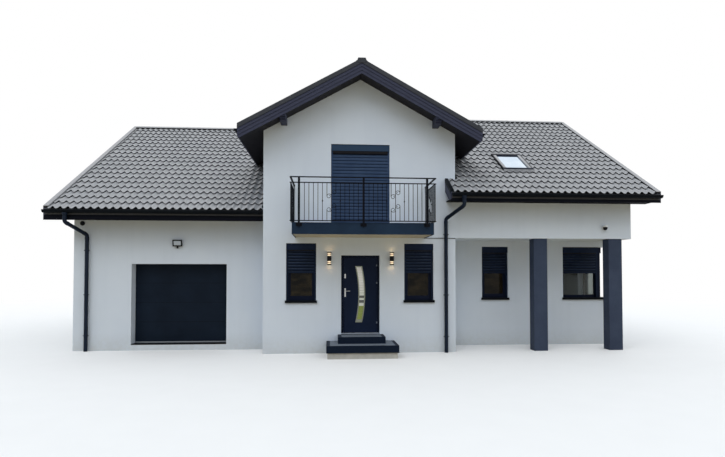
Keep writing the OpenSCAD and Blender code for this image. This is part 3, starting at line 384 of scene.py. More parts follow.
def stucco():
    """White render: fine grains, faint clouds, rain streaks and a splash zone above the ground."""
    s = Shader("stucco")
    streaks = s.noise(1.0, 3.0, s.scaled(5.0, 5.0, 0.25))
    splash = s.times(s.ramp(s.axis("Z"), 0.02, 0.5, 1.0, 0.0), s.noise(9.0, 4.0))
    tone = s.mix(s.ramp(s.noise(0.7, 4.0)), (0.64, 0.715, 0.83), (0.685, 0.76, 0.865))
    tone = s.mix(s.ramp(streaks, 0.5, 0.8, 0.0, 0.35), tone, (0.60, 0.675, 0.785))
    tone = s.mix(s.times(splash, 0.5), tone, (0.44, 0.45, 0.42))
    s.bump(s.math("ADD", s.grains(260.0), s.times(s.noise(90.0, 3.0), 0.6)), 0.0022, 0.8)
    return s.finish(tone, s.spread(s.noise(40.0), 0.82, 0.93), 0.2)


def tile_paint():
    """Satin graphite coating on pressed tile sheets: dust in patches, and painted shade on the undersides of
    the steps.
    """
    s = Shader("tile_paint")
    dust = s.noise(28.0, 5.0)
    tone = s.mix(s.ramp(s.noise(1.6, 4.0)), (0.245, 0.255, 0.272), (0.30, 0.308, 0.325))
    tone = s.mix(s.ramp(dust, 0.5, 0.85, 0.0, 0.5), tone, (0.37, 0.372, 0.37))
    # Painted shade: faces that look down, the risers under each row's step, are darkened to near-black.
    tone = s.mix(s.ramp(s.facing("Z"), 0.05, 0.4, 1.0, 0.0), tone, (0.008, 0.009, 0.012))
    s.bump(s.noise(420.0, 2.0), 0.0006, 0.5)
    return s.finish(tone, s.ramp(dust, 0.2, 0.8, 0.34, 0.5), 0.45)


def roof_deck():
    """Underlay of the roof: dark metal on top and stained boards on the underside."""
    s = Shader("roof_deck")
    grain = s.noise(3.0, 5.0, s.scaled(1.0, 22.0, 22.0))
    joints = s.lines(s.axis("Y"), BOARD_PITCH, GROOVE_W)
    boards = s.mix(s.ramp(grain), (0.010, 0.010, 0.013), (0.020, 0.019, 0.025))
    boards = s.mix(joints, boards, (0.003, 0.003, 0.004))
    metal = s.mix(s.noise(6.0, 4.0), (0.05, 0.052, 0.06), (0.075, 0.078, 0.088))
    s.bump(s.times(joints, -1.0), 0.004, 0.6)
    tone = s.mix(s.below(s.facing("Z"), -0.1), metal, boards)
    return s.finish(tone, s.ramp(grain, 0.2, 0.8, 0.5, 0.7), 0.15)


def stained_boards():
    """Stained and planed timber with dark grain along X."""
    s = Shader("stained_boards")
    grain = s.noise(2.5, 6.0, s.scaled(1.2, 26.0, 26.0))
    tone = s.mix(s.ramp(grain, 0.3, 0.72), (0.021, 0.025, 0.050), (0.040, 0.046, 0.085))
    s.bump(grain, 0.0015, 0.6)
    return s.finish(tone, s.ramp(grain, 0.2, 0.8, 0.42, 0.62), 0.2)


def shade_darkened_boards():
    """Stained boards under the eaves, darkened to near-black as painted shade, with a groove between them.
    """
    s = Shader("shade_darkened_boards")
    grain = s.noise(2.5, 6.0, s.scaled(1.2, 26.0, 26.0))
    grooves = s.lines(s.axis("Y"), SOFFIT_PITCH, GROOVE_W)
    # Painted shade: the boards' stain is darkened to near-black for the shade under the eaves.
    tone = s.mix(s.ramp(grain, 0.3, 0.72), (0.005, 0.006, 0.010), (0.010, 0.011, 0.018))
    tone = s.mix(grooves, tone, (0.0015, 0.0015, 0.002))
    s.bump(s.times(grooves, -1.0), 0.004, 0.6)
    return s.finish(tone, s.ramp(grain, 0.2, 0.8, 0.55, 0.75), 0.02)


def coated_metal(name, dark, light, rough=(0.36, 0.52), grain_scale=500.0, gloss=0.15):
    """Powder-coated sheet metal: fine orange peel, faint dust and rubbed patches."""
    s = Shader(name)
    dust = s.noise(16.0, 5.0)
    pale_marks = tuple(min(1, c * 1.6 + 0.01) for c in light)
    tone = s.mix(s.ramp(s.noise(2.2, 4.0)), dark, light)
    tone = s.mix(s.ramp(dust, 0.55, 0.9, 0.0, 0.3), tone, pale_marks)
    s.bump(s.noise(grain_scale, 2.0), 0.0004, 0.5)
    return s.finish(tone, s.ramp(dust, 0.25, 0.75, *rough), gloss)


def shutter_paint():
    """Coated shutter slats in painted light and shade: a dark shaded tone below and a paler lit tone at the
    balcony, a painted highlight in patches on what faces up, and painted shade on what faces down.
    """
    s = Shader("shutter_paint")
    patches = s.ramp(s.noise(2.2, 4.0))
    upper = s.ramp(s.axis("Z"), ROOM_TOP, ROOM_TOP + 0.2)
    box = s.ramp(s.axis("Z"), BALCONY_CURTAIN_TOP - 0.01, BALCONY_CURTAIN_TOP + 0.01)
    # Painted light and shade: the same coating, dark and shaded on the lower shutters, paler and lit at the
    # balcony.
    low = s.mix(patches, (0.003, 0.009, 0.026), (0.007, 0.015, 0.040))
    high = s.mix(patches, (0.030, 0.056, 0.120), (0.042, 0.074, 0.148))
    tone = s.mix(upper, low, s.mix(box, high, (0.027, 0.054, 0.104)))
    # Painted highlight: the slats' up-facing edges are made paler, in patches, and weaker at the balcony.
    pale_marks = s.times(s.ramp(s.facing("Z"), 0.25, 0.75), s.spread(s.noise(14.0, 4.0), 0.5, 1.0))
    pale_marks = s.times(pale_marks, s.math("MULTIPLY_ADD", upper, -0.3, 0.8))
    tone = s.mix(pale_marks, tone, (0.11, 0.15, 0.22))
    shade = s.ramp(s.facing("Z"), -0.5, -0.15, 1.0, 0.0)
    shade = s.times(shade, s.math("MULTIPLY_ADD", upper, -0.25, 0.6))
    tone = s.mix(shade, tone, (0.001, 0.0015, 0.003))
    s.bump(s.noise(500.0, 2.0), 0.0004, 0.5)
    return s.finish(tone, s.spread(s.noise(2.2, 4.0), 0.34, 0.46), 0.08)


def verge_metal():
    """Pale coated metal of the folded cappings, weathered in patches."""
    s = Shader("verge_metal")
    patches = s.noise(3.0, 5.0)
    pale = s.mix(s.ramp(patches), (0.25, 0.255, 0.27), (0.31, 0.315, 0.33))
    s.bump(s.noise(380.0, 2.0), 0.0005, 0.5)
    return s.finish(pale, s.spread(patches, 0.34, 0.5), 0.4)


def concrete(name, dark, light):
    """Cast concrete: cloudy, with pores."""
    s = Shader(name)
    pores = s.ramp(s.grains(70.0), 0.05, 0.25)
    s.bump(s.math("ADD", pores, s.noise(160.0, 3.0)), 0.0015, 0.7)
    tone = s.mix(pores, dark, s.mix(s.ramp(s.noise(3.0, 6.0)), dark, light))
    return s.finish(tone, s.spread(s.noise(30.0), 0.7, 0.88))


def balcony_concrete():
    """The balcony's slab: pale render below, coloured warm beige as painted light and shade, grey tiles with
    joints on top.
    """
    s = Shader("balcony_concrete")
    joints = s.math("MAXIMUM", *(s.lines(s.axis(a), BALCONY_TILE, 0.006) for a in "XY"))
    tiles = s.mix(s.ramp(s.noise(5.0, 5.0)), (0.2, 0.2, 0.2), (0.27, 0.27, 0.265))
    tiles = s.mix(joints, tiles, (0.09, 0.09, 0.09))
    # Painted light and shade: the pale render of the underside is given a warm, darker beige.
    render = s.mix(s.ramp(s.noise(1.5, 4.0)), (0.46, 0.42, 0.32), (0.53, 0.485, 0.38))
    s.bump(s.grains(240.0), 0.0018, 0.7)
    return s.finish(s.mix(s.above(s.facing("Z"), 0.5), render, tiles), 0.8)


def granite():
    """Flamed dark granite on a cast footing, with paler slabs let into the treads."""
    s = Shader("granite")
    low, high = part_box("entrance_steps")
    body = s.mix(s.ramp(s.noise(210.0, 3.0), 0.42, 0.62), (0.002, 0.006, 0.016), (0.010, 0.017, 0.033))
    slab = s.mix(s.ramp(s.noise(150.0, 4.0), 0.35, 0.65), (0.09, 0.115, 0.15), (0.20, 0.225, 0.26))
    cast = s.mix(s.ramp(s.noise(6.0, 6.0)), (0.38, 0.38, 0.37), (0.5, 0.5, 0.48))
    upper = s.above(s.axis("Z"), UPPER_TREAD_Z)
    width = s.math("MULTIPLY_ADD", upper, -UPPER_TREAD_IN, high.x - SLAB_IN)
    inside = s.below(s.math("ABSOLUTE", s.axis("X")), width)
    front = s.above(s.axis("Y"), s.math("MULTIPLY_ADD", upper, UPPER_TREAD_BACK, low.y + SLAB_IN / 2))
    mask = s.times(s.times(inside, front), s.above(s.facing("Z"), 0.5))
    tone = s.mix(s.below(s.axis("Z"), FOOTING_H), s.mix(mask, body, slab), cast)
    s.bump(s.noise(300.0, 3.0), 0.0012, 0.7)
    return s.finish(tone, s.spread(s.noise(60.0), 0.45, 0.65), 0.06)


def column_paint():
    """Smooth masonry paint on fine render."""
    s = Shader("column_paint")
    tone = s.mix(s.ramp(s.noise(2.0, 5.0)), (0.028, 0.041, 0.076), (0.040, 0.056, 0.098))
    s.bump(s.math("ADD", s.grains(300.0), s.noise(110.0, 3.0)), 0.0012, 0.7)
    return s.finish(tone, s.spread(s.noise(25.0), 0.6, 0.78), 0.2)


def door_paint():
    """Door skins: matt anthracite with a fine leather grain, the garage door's section joints and seal."""
    s = Shader("door_paint")
    patches = s.ramp(s.noise(1.4, 4.0))
    garage = s.below(s.axis("X"), -HALF_FRONT)
    seal_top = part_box("garage_door")[0].z + SEAL_H
    leaf = s.mix(patches, (0.0040, 0.0085, 0.024), (0.0065, 0.0130, 0.034))
    wide = s.mix(patches, (0.0040, 0.0085, 0.017), (0.0070, 0.0135, 0.026))
    joint = s.lines(s.math("SUBTRACT", s.axis("Z"), seal_top), SECTION_H, GROOVE_W)
    joint = s.times(joint, garage)
    seal = s.times(garage, s.below(s.axis("Z"), seal_top))
    tone = s.mix(joint, s.mix(garage, leaf, wide), (0.002, 0.003, 0.005))
    tone = s.mix(seal, tone, (0.26, 0.28, 0.30))
    s.bump(s.math("SUBTRACT", s.noise(340.0, 3.0), s.times(joint, 3.0)), 0.0007, 0.6)
    return s.finish(tone, s.spread(s.noise(12.0, 4.0), 0.42, 0.56), 0.07)


def brushed_steel(name, dark, light):
    """Stainless steel brushed along its height."""
    s = Shader(name)
    brushing = s.noise(30.0, 4.0, s.scaled(40.0, 40.0, 1.0))
    s.bump(brushing, 0.0002, 0.4)
    tone = s.mix(s.ramp(brushing), dark, light)
    return s.finish(tone, s.spread(brushing, 0.26, 0.42), metallic=1.0, Anisotropic=0.5)


def clear_glass():
    """Double glazing: dark, with a painted brownish reflection in clouds, slightly wavy from the rollers,
    clearer at the corner window.
    """
    s = Shader("clear_glass")
    # Painted reflection: brownish clouds on the dark glass stand in for the trees mirrored in it.
    scene = s.noise(4.0, 5.0, s.scaled(1.0, 1.0, 2.2))
    dark = s.mix(s.ramp(scene, 0.35, 0.65), (0.006, 0.006, 0.004), (0.055, 0.042, 0.022))
    clear = s.mix(s.noise(0.9), (0.42, 0.45, 0.44), (0.5, 0.53, 0.52))
    corner = s.ramp(s.axis("X"), *CORNER_WINDOW)
    s.link(s.math("MULTIPLY_ADD", corner, 0.4, 0.5), s.bsdf.inputs["Transmission Weight"])
    s.bump(s.noise(2.5, 1.0), 0.002, 0.15)
    return s.finish(s.mix(corner, dark, clear), s.spread(s.noise(7.0), 0.0, 0.02), IOR=1.2)


def sky_glass():
    """Roof glazing as a metallic mirror, tinted sky-blue in clouds as a painted reflection of a bright sky.
    """
    s = Shader("sky_glass")
    # Painted reflection: a sky-blue tone in clouds tints the mirror.
    tone = s.mix(s.ramp(s.noise(1.2, 3.0), 0.35, 0.65), (0.42, 0.52, 0.64), (0.56, 0.64, 0.72))
    s.bump(s.noise(2.5, 1.0), 0.002, 0.15)
    return s.finish(tone, s.spread(s.noise(9.0), 0.03, 0.08), metallic=0.9)


def frosted_glass():
    """The door's inlay glass: etched with fine level lines and darker bands, green towards its foot."""
    s = Shader("frosted_glass")
    z = s.axis("Z")
    tone = s.mix(s.ramp(z, *INLAY_PALE), (0.84, 0.87, 0.80), (1.0, 1.0, 1.0))
    tone = s.mix(s.ramp(z, *INLAY_GREEN), (0.23, 0.29, 0.02), tone)
    tone = s.mix(s.below(z, INLAY_FOOT), tone, (0.22, 0.23, 0.19))
    lines = s.times(s.lines(z, INLAY_LINE, INLAY_LINE / 5), s.ramp(z, 1.6, 2.0, 0.8, 0.2))
    tone = s.mix(s.times(lines, s.above(z, 1.3)), tone, (0.16, 0.18, 0.14))
    for low, high in INLAY_BANDS:
        band = s.times(s.above(z, low), s.below(z, high))
        tone = s.mix(s.times(band, 0.95), tone, (0.03, 0.035, 0.025))
    tone = s.mix(s.ramp(s.noise(120.0, 3.0), 0.4, 0.7, 0.0, 0.12), tone, (0.92, 0.94, 0.93))
    s.bump(s.noise(260.0, 2.0), 0.0004, 0.5)
    return s.finish(tone, s.spread(s.noise(50.0), 0.18, 0.32))


def lamp_lens(name, glow, strength):
    """Frosted lens, lit from within."""
    s = Shader(name)
    tone = s.mix(s.noise(60.0), glow, tuple(min(1, c * 1.05) for c in glow))
    s.link(tone, s.bsdf.inputs["Emission Color"])
    s.bsdf.inputs["Emission Strength"].default_value = strength
    return s.finish(tone, s.spread(s.noise(80.0), 0.2, 0.35))


STUCCO = stucco()
TILES = tile_paint()
DECK = roof_deck()
TIMBER = stained_boards()
VERGE = verge_metal()
SOFFIT = shade_darkened_boards()
METAL = coated_metal("sheet_metal", (0.002, 0.003, 0.005), (0.005, 0.007, 0.010), gloss=0.04)
PIPE = coated_metal("downpipe_metal", (0.004, 0.009, 0.020), (0.008, 0.014, 0.030), gloss=0.12)
FRAME = coated_metal("window_frame", (0.003, 0.006, 0.018), (0.006, 0.010, 0.026), gloss=0.06)
GABLE_METAL = coated_metal("gable_metal", (0.036, 0.040, 0.050), (0.052, 0.056, 0.068), gloss=0.12)
APRON = coated_metal("apron_metal", (0.13, 0.136, 0.15), (0.19, 0.195, 0.21), gloss=0.3)
SHUTTER = shutter_paint()
RAILING = coated_metal("railing_steel", (0.002, 0.0025, 0.005), (0.004, 0.005, 0.009), (0.4, 0.55), 900.0,
                       0.06)
TRIM = coated_metal("balcony_trim", (0.007, 0.018, 0.040), (0.012, 0.028, 0.058), gloss=0.1)
BLACK = coated_metal("lamp_black", (0.003, 0.003, 0.005), (0.006, 0.006, 0.009), (0.3, 0.45), 700.0, 0.1)
WHITE = coated_metal("white_plastic", (0.76, 0.80, 0.85), (0.82, 0.85, 0.89), (0.35, 0.5), 800.0)
HINGE = coated_metal("hinge_steel", (0.11, 0.13, 0.17), (0.16, 0.185, 0.23), (0.3, 0.42), 600.0, 0.2)
CONCRETE = concrete("concrete", (0.3, 0.3, 0.29), (0.44, 0.44, 0.42))
THRESHOLD = concrete("threshold", (0.42, 0.42, 0.41), (0.56, 0.56, 0.54))
BALCONY = balcony_concrete()
GRANITE = granite()
COLUMN = column_paint()
DOOR = door_paint()
STEEL = brushed_steel("brushed_steel", (0.34, 0.345, 0.34), (0.50, 0.50, 0.49))
INLAY_STEEL = brushed_steel("inlay_steel", (0.15, 0.16, 0.12), (0.24, 0.25, 0.20))
GLASS = clear_glass()
INLAY_GLASS = frosted_glass()
SKY_GLASS = sky_glass()
WARM_LENS = lamp_lens("warm_lens", (1.0, 0.76, 0.50), 0.85)
LAMP_GLOW = lamp_lens("lamp_glow", (1.0, 0.64, 0.28), 9.0)
PALE_LENS = lamp_lens("pale_lens", (0.46, 0.52, 0.60), 0.0)

NODE_MATERIALS = {
    STUCCO: ["front_wall_left", "front_wall_right", "door_lintel", "front_gable_wall", "main_left_wall",
             "centre_right_wall", "porch_wall", "porch_beam", "right_gable_wall", "rear_wall",
             "garage_front_wall", "garage_left_wall", "garage_right_wall", "garage_rear_wall",
             "upper_floor"],
    CONCRETE: ["foundation_raft", "ground_floor", "garage_floor"],
    THRESHOLD: ["garage_threshold"],
    DECK: ["main_roof_front", "main_roof_rear", "garage_roof_front", "garage_roof_rear", "cross_roof_left",
           "cross_roof_right"],
    SOFFIT: ["soffits"],
    TIMBER: ["gable_bargeboards", "verge_boards", "gable_purlins"],
    VERGE: ["verge_flashings"],
    TILES: ["ridge_caps"],
    METAL: ["gutters", "downpipes", "window_sills"],
    FRAME: ["window_frames", "door_frame", "skylight_frame"],
    SHUTTER: ["roller_shutters"],
    RAILING: ["railing_front", "railing_left", "railing_right"],
    TRIM: ["balcony_trim"],
    BALCONY: ["balcony_slab"],
    GRANITE: ["entrance_steps"],
    COLUMN: ["porch_columns"],
    DOOR: ["door_leaf", "garage_door"],
    INLAY_STEEL: ["door_inlay"],
    STEEL: ["door_handle"],
    HINGE: ["door_hinges"],
    GLASS: ["window_glass"],
    SKY_GLASS: ["skylight_glass"],
    INLAY_GLASS: ["door_glass"],
    BLACK: ["wall_lamps", "wall_fittings"],
}
for finish, names in NODE_MATERIALS.items():
    for node_name in names:
        mesh = nodes[node_name].data
        mesh.materials.clear()
        mesh.materials.append(finish)


# Roof slopes and their tiles

def wave_height(u):
    """Height of the tile sheet's wave at a distance along the eave."""
    return WAVE_H * (0.5 + 0.5 * math.cos(2 * math.pi * u / WAVE)) ** 1.5


class Slope:
    """A roof slope: its local X runs along the eave, Y up the slope and Z out of it."""

    def __init__(self, origin, uphill, pitch, run):
        up = Vector(uphill) * math.cos(pitch) + Vector((0, 0, math.sin(pitch)))
        out = -Vector(uphill) * math.sin(pitch) + Vector((0, 0, math.cos(pitch)))
        self.matrix = Matrix.Translation(origin) @ Matrix((up.cross(out), up, out)).transposed().to_4x4()
        self.origin = Vector(origin)
        self.out = out
        self.top = (run - RIDGE_COVER) / math.cos(pitch)

    def place(self, bm):
        """Moves a form from the slope's own axes to its place."""
        bmesh.ops.transform(bm, matrix=self.matrix, verts=bm.verts)
        return bm

    def flat_tiles(self, u0, u1):
        """Tile sheets from u0 to u1 along the eave and up to the ridge sheets, in the slope's own axes."""
        step_u = WAVE / WAVE_PARTS
        us = [i * step_u for i in range(math.ceil(u0 / step_u + 0.01), math.floor(u1 / step_u) + 1)]
        us = [u for u in [u0] + us if u < u1 - THIN_STRIP] + [u1]
        line = []
        for row in range(math.ceil((self.top + EAVE_LAP) / ROW)):
            v = row * ROW - EAVE_LAP
            line += [(v - LIP, STEP - LIP_T, 1), (v - LIP, STEP, 1), (v + ROW / 2, STEP / 2, 0),
                     (v + ROW + LIP_T, 0.001, 0)]
        bm = bmesh.new()
        columns = []
        for u in us:
            wave = wave_height(u)
            edge = SCALLOP * (0.5 - wave / WAVE_H)
            columns.append([bm.verts.new((u, v - lip * edge, TILE_BASE + wave + z)) for v, z, lip in line])
        for left, right in zip(columns, columns[1:]):
            for j in range(len(line) - 1):
                bm.faces.new((left[j], right[j], right[j + 1], left[j + 1]))
        clip(bm, (0, self.top, 0), ALONG_Y)
        return bm

    def tiles(self, u0, u1):
        """The same sheets at their place on the roof."""
        return self.place(self.flat_tiles(u0, u1))


def tile_piece(name, *fields):
    """Joins fields of tiles into one piece."""
    whole = bmesh.new()
    for field in fields:
        append(whole, field)
    return add_piece(name, whole, TILES, sharp=50, outwards=False)


main_low, main_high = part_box("main_roof_front")
rear_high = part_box("main_roof_rear")[1]
garage_low, garage_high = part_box("garage_roof_front")
garage_rear_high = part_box("garage_roof_rear")[1]
cross_low, cross_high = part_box("cross_roof_left")
main_run = main_high.y - main_low.y
garage_run = garage_high.y - garage_low.y
cross_run = -cross_low.x
main_ridge = main_high.z
garage_ridge = garage_high.z
garage_ridge_y = garage_high.y
cross_ridge = cross_high.z
main_edge = main_ridge - main_run * math.tan(PITCH)
garage_edge = garage_ridge - garage_run * math.tan(PITCH)
cross_edge = cross_ridge - cross_run * math.tan(CROSS_PITCH)

MAIN_FRONT = Slope((0, main_low.y, main_edge), (0, 1, 0), PITCH, main_run)
MAIN_REAR = Slope((0, rear_high.y, main_edge), (0, -1, 0), PITCH, main_run)
GARAGE_FRONT = Slope((0, garage_low.y, garage_edge), (0, 1, 0), PITCH, garage_run)
GARAGE_REAR = Slope((0, garage_rear_high.y, garage_edge), (0, -1, 0), PITCH, garage_run)
CROSS_LEFT = Slope((-cross_run, 0, cross_edge), (1, 0, 0), CROSS_PITCH, cross_run)
CROSS_RIGHT = Slope((cross_run, 0, cross_edge), (-1, 0, 0), CROSS_PITCH, cross_run)

right_end = main_high.x - INNER_CAP + BOARD_T
left_end = garage_low.x + INNER_CAP - BOARD_T
gable_front = cross_low.y - 2 * BOARD_T

SKYLIGHT_UP = 0.075
SKYLIGHT_DOWN = 0.12
FLASHING_W = 0.045
FLASHING_LAP = 0.01
SASH_TOP = 0.105
COVER_TOP = 0.088
COVER_W = 0.072


def valley_y(x):
    """Depth at which the centre gable roof, at a distance from its ridge, meets the main roof."""
    return main_low.y + (cross_ridge - abs(x) * math.tan(CROSS_PITCH) - main_edge) / math.tan(PITCH)


def valley_plane(side, gap):
    """A point and a normal towards the ridge of the main roof, on the valley's vertical plane."""
    run = Vector((side * HALF_FRONT, valley_y(HALF_FRONT) - valley_y(0), 0)).normalized()
    back = Vector((-run.y, run.x, 0)) * side
    return Vector((0, valley_y(0), 0)) + back * gap, back


def skylight_place():
    """The skylight's frame on the front slope: its two sides and its lower and upper edge."""
    low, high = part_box("skylight_frame")
    v0 = (low.y + SKYLIGHT_UP * math.sin(PITCH) - main_low.y) / math.cos(PITCH)
    v1 = (high.y - SKYLIGHT_DOWN * math.sin(PITCH) - main_low.y) / math.cos(PITCH)
    return low.x, high.x, v0, v1


def skylight_patch(bm):
    """Cuts the skylight's place out of tiles that are still in the slope's own axes."""
    x0, x1, v0, v1 = skylight_place()
    u0, u1 = x0 - FLASHING_W + FLASHING_LAP, x1 + FLASHING_W - FLASHING_LAP
    v0, v1 = v0 - 0.03, v1 + 2 * FLASHING_W - FLASHING_LAP
    for point, normal in (((u0, 0, 0), ALONG_X), ((u1, 0, 0), ALONG_X), ((0, v0, 0), ALONG_Y),
                          ((0, v1, 0), ALONG_Y)):
        geometry = bm.verts[:] + bm.edges[:] + bm.faces[:]
        bmesh.ops.bisect_plane(bm, geom=geometry, plane_co=point, plane_no=normal)
    middles = [(face, face.calc_center_median()) for face in bm.faces]
    inside = [face for face, middle in middles if u0 < middle.x < u1 and v0 < middle.y < v1]
    bmesh.ops.delete(bm, geom=inside, context="FACES")
    return bm


def main_front_tiles():
    """Tiles right of the centre gable, on the eave's short return and behind the gable's roof."""
    right = MAIN_FRONT.place(skylight_patch(MAIN_FRONT.flat_tiles(HALF_FRONT, right_end)))
    beside = MAIN_FRONT.tiles(HALF_FRONT - RETURN + RETURN_CAP - BOARD_T, HALF_FRONT)
    clip(beside, (0, WALL_FACE, 0), ALONG_Y)
    fields = [beside, right]
    for side, u0, u1 in ((-1, INNER_CAP - HALF_FRONT, 0), (1, 0, HALF_FRONT)):
        behind = MAIN_FRONT.tiles(u0, u1)
        point, back = valley_plane(side, VALLEY_GAP)
        clip(behind, point, -back)
        fields.append(behind)
    return tile_piece("tiles_main_front", *fields)


def cross_tiles(name, slope, side, beside):
    """Tiles on one half of the centre gable roof, cut at the valley and where it lands on a long roof."""
    along = slope.matrix.col[0].y
    span = sorted((along * (gable_front + INNER_CAP), along * valley_y(0)))
    over = slope.tiles(*span)
    clip(over, (side * HALF_FRONT, 0, 0), (-side, 0, 0))
    clip(over, beside.origin, -beside.out)
    inner = slope.tiles(*span)
    clip(inner, (side * HALF_FRONT, 0, 0), (side, 0, 0))
    point, back = valley_plane(side, -VALLEY_GAP)
    clip(inner, point, back)
    return tile_piece(name, over, inner)


main_front_tiles()
tile_piece("tiles_main_rear", MAIN_REAR.tiles(-right_end, HALF_FRONT - INNER_CAP))
tile_piece("tiles_garage_front", GARAGE_FRONT.tiles(left_end, -HALF_FRONT))
tile_piece("tiles_garage_rear", GARAGE_REAR.tiles(HALF_FRONT + INNER_CAP, -left_end))
cross_tiles("tiles_cross_left", CROSS_LEFT, -1, GARAGE_FRONT)
cross_tiles("tiles_cross_right", CROSS_RIGHT, 1, MAIN_FRONT)


# Metal on verges and ridges

main_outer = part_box("verge_boards")[1].x
garage_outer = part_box("verge_boards")[0].x
return_outer = HALF_FRONT - RETURN - BOARD_T
meet_y = (main_ridge - garage_ridge + garage_ridge_y * math.tan(PITCH)) / (2 * math.tan(PITCH))


def main_roof_z(y):
    return main_ridge - abs(y) * math.tan(PITCH)


def garage_roof_z(y):
    return garage_ridge - abs(y - garage_ridge_y) * math.tan(PITCH)


def verge_path(x, depths, height):
    """A verge's line at a place, through depths on a roof's height."""
    return [(x, y, height(y)) for y in depths]


def gable_path(y):
    """The centre gable's outline over its boards, from eave to eave."""
    half = cross_run + BOARD_T
    edge = cross_ridge - half * math.tan(CROSS_PITCH)
    return [(-half, y, edge), (0, y, cross_ridge), (half, y, edge)]


def capping_section(way, apron):
    """Folded capping: an apron outside the board, a flat top, and an edge that turns down at the tiles."""
    return mirrored([(-FOLD, -apron), (-FOLD, CAP_H - 0.007), (SKIN, CAP_H), (CAP_W - 0.007, CAP_H),
                     (CAP_W, CAP_H - 0.007), (CAP_W, CAP_H - 0.016), (SKIN, CAP_H - 0.016), (SKIN, -apron)],
                    way)


def leg_section(way):
    """The capping's inner leg, which stands on the roof beside the tiles."""
    return mirrored([(CAP_W - 0.012, 0.002), (CAP_W - 0.012, CAP_H - 0.014), (CAP_W - 0.003, CAP_H - 0.014),
                     (CAP_W - 0.003, FOLD), (INNER_CAP, FOLD), (INNER_CAP, 0.002)], way)


def capping_runs():
    """The long roofs' verges: place, way inwards, apron, depths and the height of the roof."""
    inner_low = valley_y(HALF_FRONT - CAP_W) + 0.03
    return [(main_outer, -1, 0.07, (main_low.y, 0, rear_high.y), main_roof_z),
            (garage_outer, 1, 0.07, (garage_low.y, garage_ridge_y, garage_rear_high.y), garage_roof_z),
            (-HALF_FRONT, 1, 0.05, (inner_low, 0, meet_y - CAP_W), main_roof_z),
            (-HALF_FRONT, -1, 0.05, (meet_y + CAP_W, garage_rear_high.y), garage_roof_z)]


def verge_cappings():
    """Pale cappings over the verges of the long roofs, and where one long roof stands above the other."""
    bars = [(capping_section(way, apron), verge_path(x, depths, height), ALONG_X)
            for x, way, apron, depths, height in capping_runs()]
    return bar_piece("verge_cappings", bars, VERGE)


def capping_legs(name, material, runs):
    """Inner legs of the pale cappings, in the material given; a leg in dark sheet metal is painted shade."""
    bars = [(leg_section(way), verge_path(x, depths, height), ALONG_X) for x, way, _, depths, height in runs]
    return bar_piece(name, bars, material)


def gable_capping():
    """Folded capping along the centre gable's front, over its boards."""
    bars = [(section, gable_path(gable_front), ALONG_Y)
            for section in (capping_section(1, 0.045), leg_section(1))]
    return bar_piece("gable_capping", bars, GABLE_METAL)


def dark_flashings():
    """Ribbed capping on the eave's short return, and upstands where tiles meet the centre gable's walls."""
    top, rib = 0.062, 0.069
    sheet = [(-FOLD, -0.05), (-FOLD, top - FOLD), (SKIN, top), (0.036, top), (0.040, rib), (0.048, rib),
             (0.052, top), (RETURN_CAP - FOLD, top), (RETURN_CAP, top - FOLD), (RETURN_CAP, 0.003),
             (SKIN, 0.003), (SKIN, -0.05)]
    upstand = [(SKIN, 0.003), (SKIN, 0.15), (0.010, 0.15), (0.013, 0.10), (0.055, 0.092), (top, 0.08),
               (top, 0.003)]
    bars = [(sheet, verge_path(return_outer, (main_low.y, WALL_FACE), main_roof_z), ALONG_X)]
    soffit = cross_ridge - HALF_FRONT * math.tan(CROSS_PITCH) - ROOF_T / math.cos(CROSS_PITCH)
    for side, start, height in ((1, WALL_FACE, main_roof_z), (-1, garage_low.y, garage_roof_z)):
        end = start + (soffit - 0.16 - height(start)) / math.tan(PITCH)
        bars.append((mirrored(upstand, side), verge_path(side * HALF_FRONT, (start, end), height), ALONG_X))
    return bar_piece("dark_flashings", bars, METAL)


def ridge_section(pitch, grow):
    """Folded ridge sheet: two wings on the tiles' crests, turned down at their edges, and a flat crown."""
    fall = math.tan(pitch)
    crest = (TILE_BASE + WAVE_H + STEP) / math.cos(pitch) + 0.003 + grow
    wing = RIDGE_HALF + grow
    half = [(wing, crest - 0.02 - RIDGE_HALF * fall), (wing, crest - RIDGE_HALF * fall),
            (RIDGE_CROWN, crest - RIDGE_CROWN * fall)]
    return mirrored(half, -1) + half[::-1]


def ridge_sheets(start, end, pitch, across):
    """Bars for the ridge sheets from start to end, with a raised lap where two sheets meet."""
    start, end = Vector(start), Vector(end)
    lap = (end - start).normalized() * RIDGE_LAP / 2
    count = max(1, round((end - start).length / RIDGE_SHEET))
    bars = [(ridge_section(pitch, 0.0), [start, end], across)]
    for i in range(1, count):
        at = start.lerp(end, i / count)
        bars.append((ridge_section(pitch, 0.004), [at - lap, at + lap], across))
    return bars


def ridge_metal():
    """Ridge sheets of the two long roofs and the centre gable, between the cappings."""
    inner = CAP_W - 0.01
    bars = ridge_sheets((inner - HALF_FRONT, 0, main_ridge), (main_outer - inner, 0, main_ridge), PITCH,
                        ALONG_Y)
    bars += ridge_sheets((garage_outer + inner, garage_ridge_y, garage_ridge),
                         (-HALF_FRONT - 0.002, garage_ridge_y, garage_ridge), PITCH, ALONG_Y)
    bars += ridge_sheets((0, gable_front + 0.01, cross_ridge), (0, valley_y(0) + 0.05, cross_ridge),
                         CROSS_PITCH, ALONG_X)
    return bar_piece("ridge_metal", bars, TILES)


def ridge_end():
    """Dark end piece of the centre gable's ridge, over the capping at its peak."""
    front = gable_front - 0.012
    wing, crown, top = CAP_W, 0.095, CAP_H + 0.004
    foot = CAP_H - wing * math.tan(CROSS_PITCH)
    section = [(-wing, foot), (-crown, top), (crown, top), (wing, foot), (wing - 0.02, foot - 0.055),
               (0, -0.05), (0.02 - wing, foot - 0.055)]
    path = [(0, front, cross_ridge), (0, front + 0.16, cross_ridge)]
    return bar_piece("ridge_end", [(section, path, ALONG_X)], GABLE_METAL)


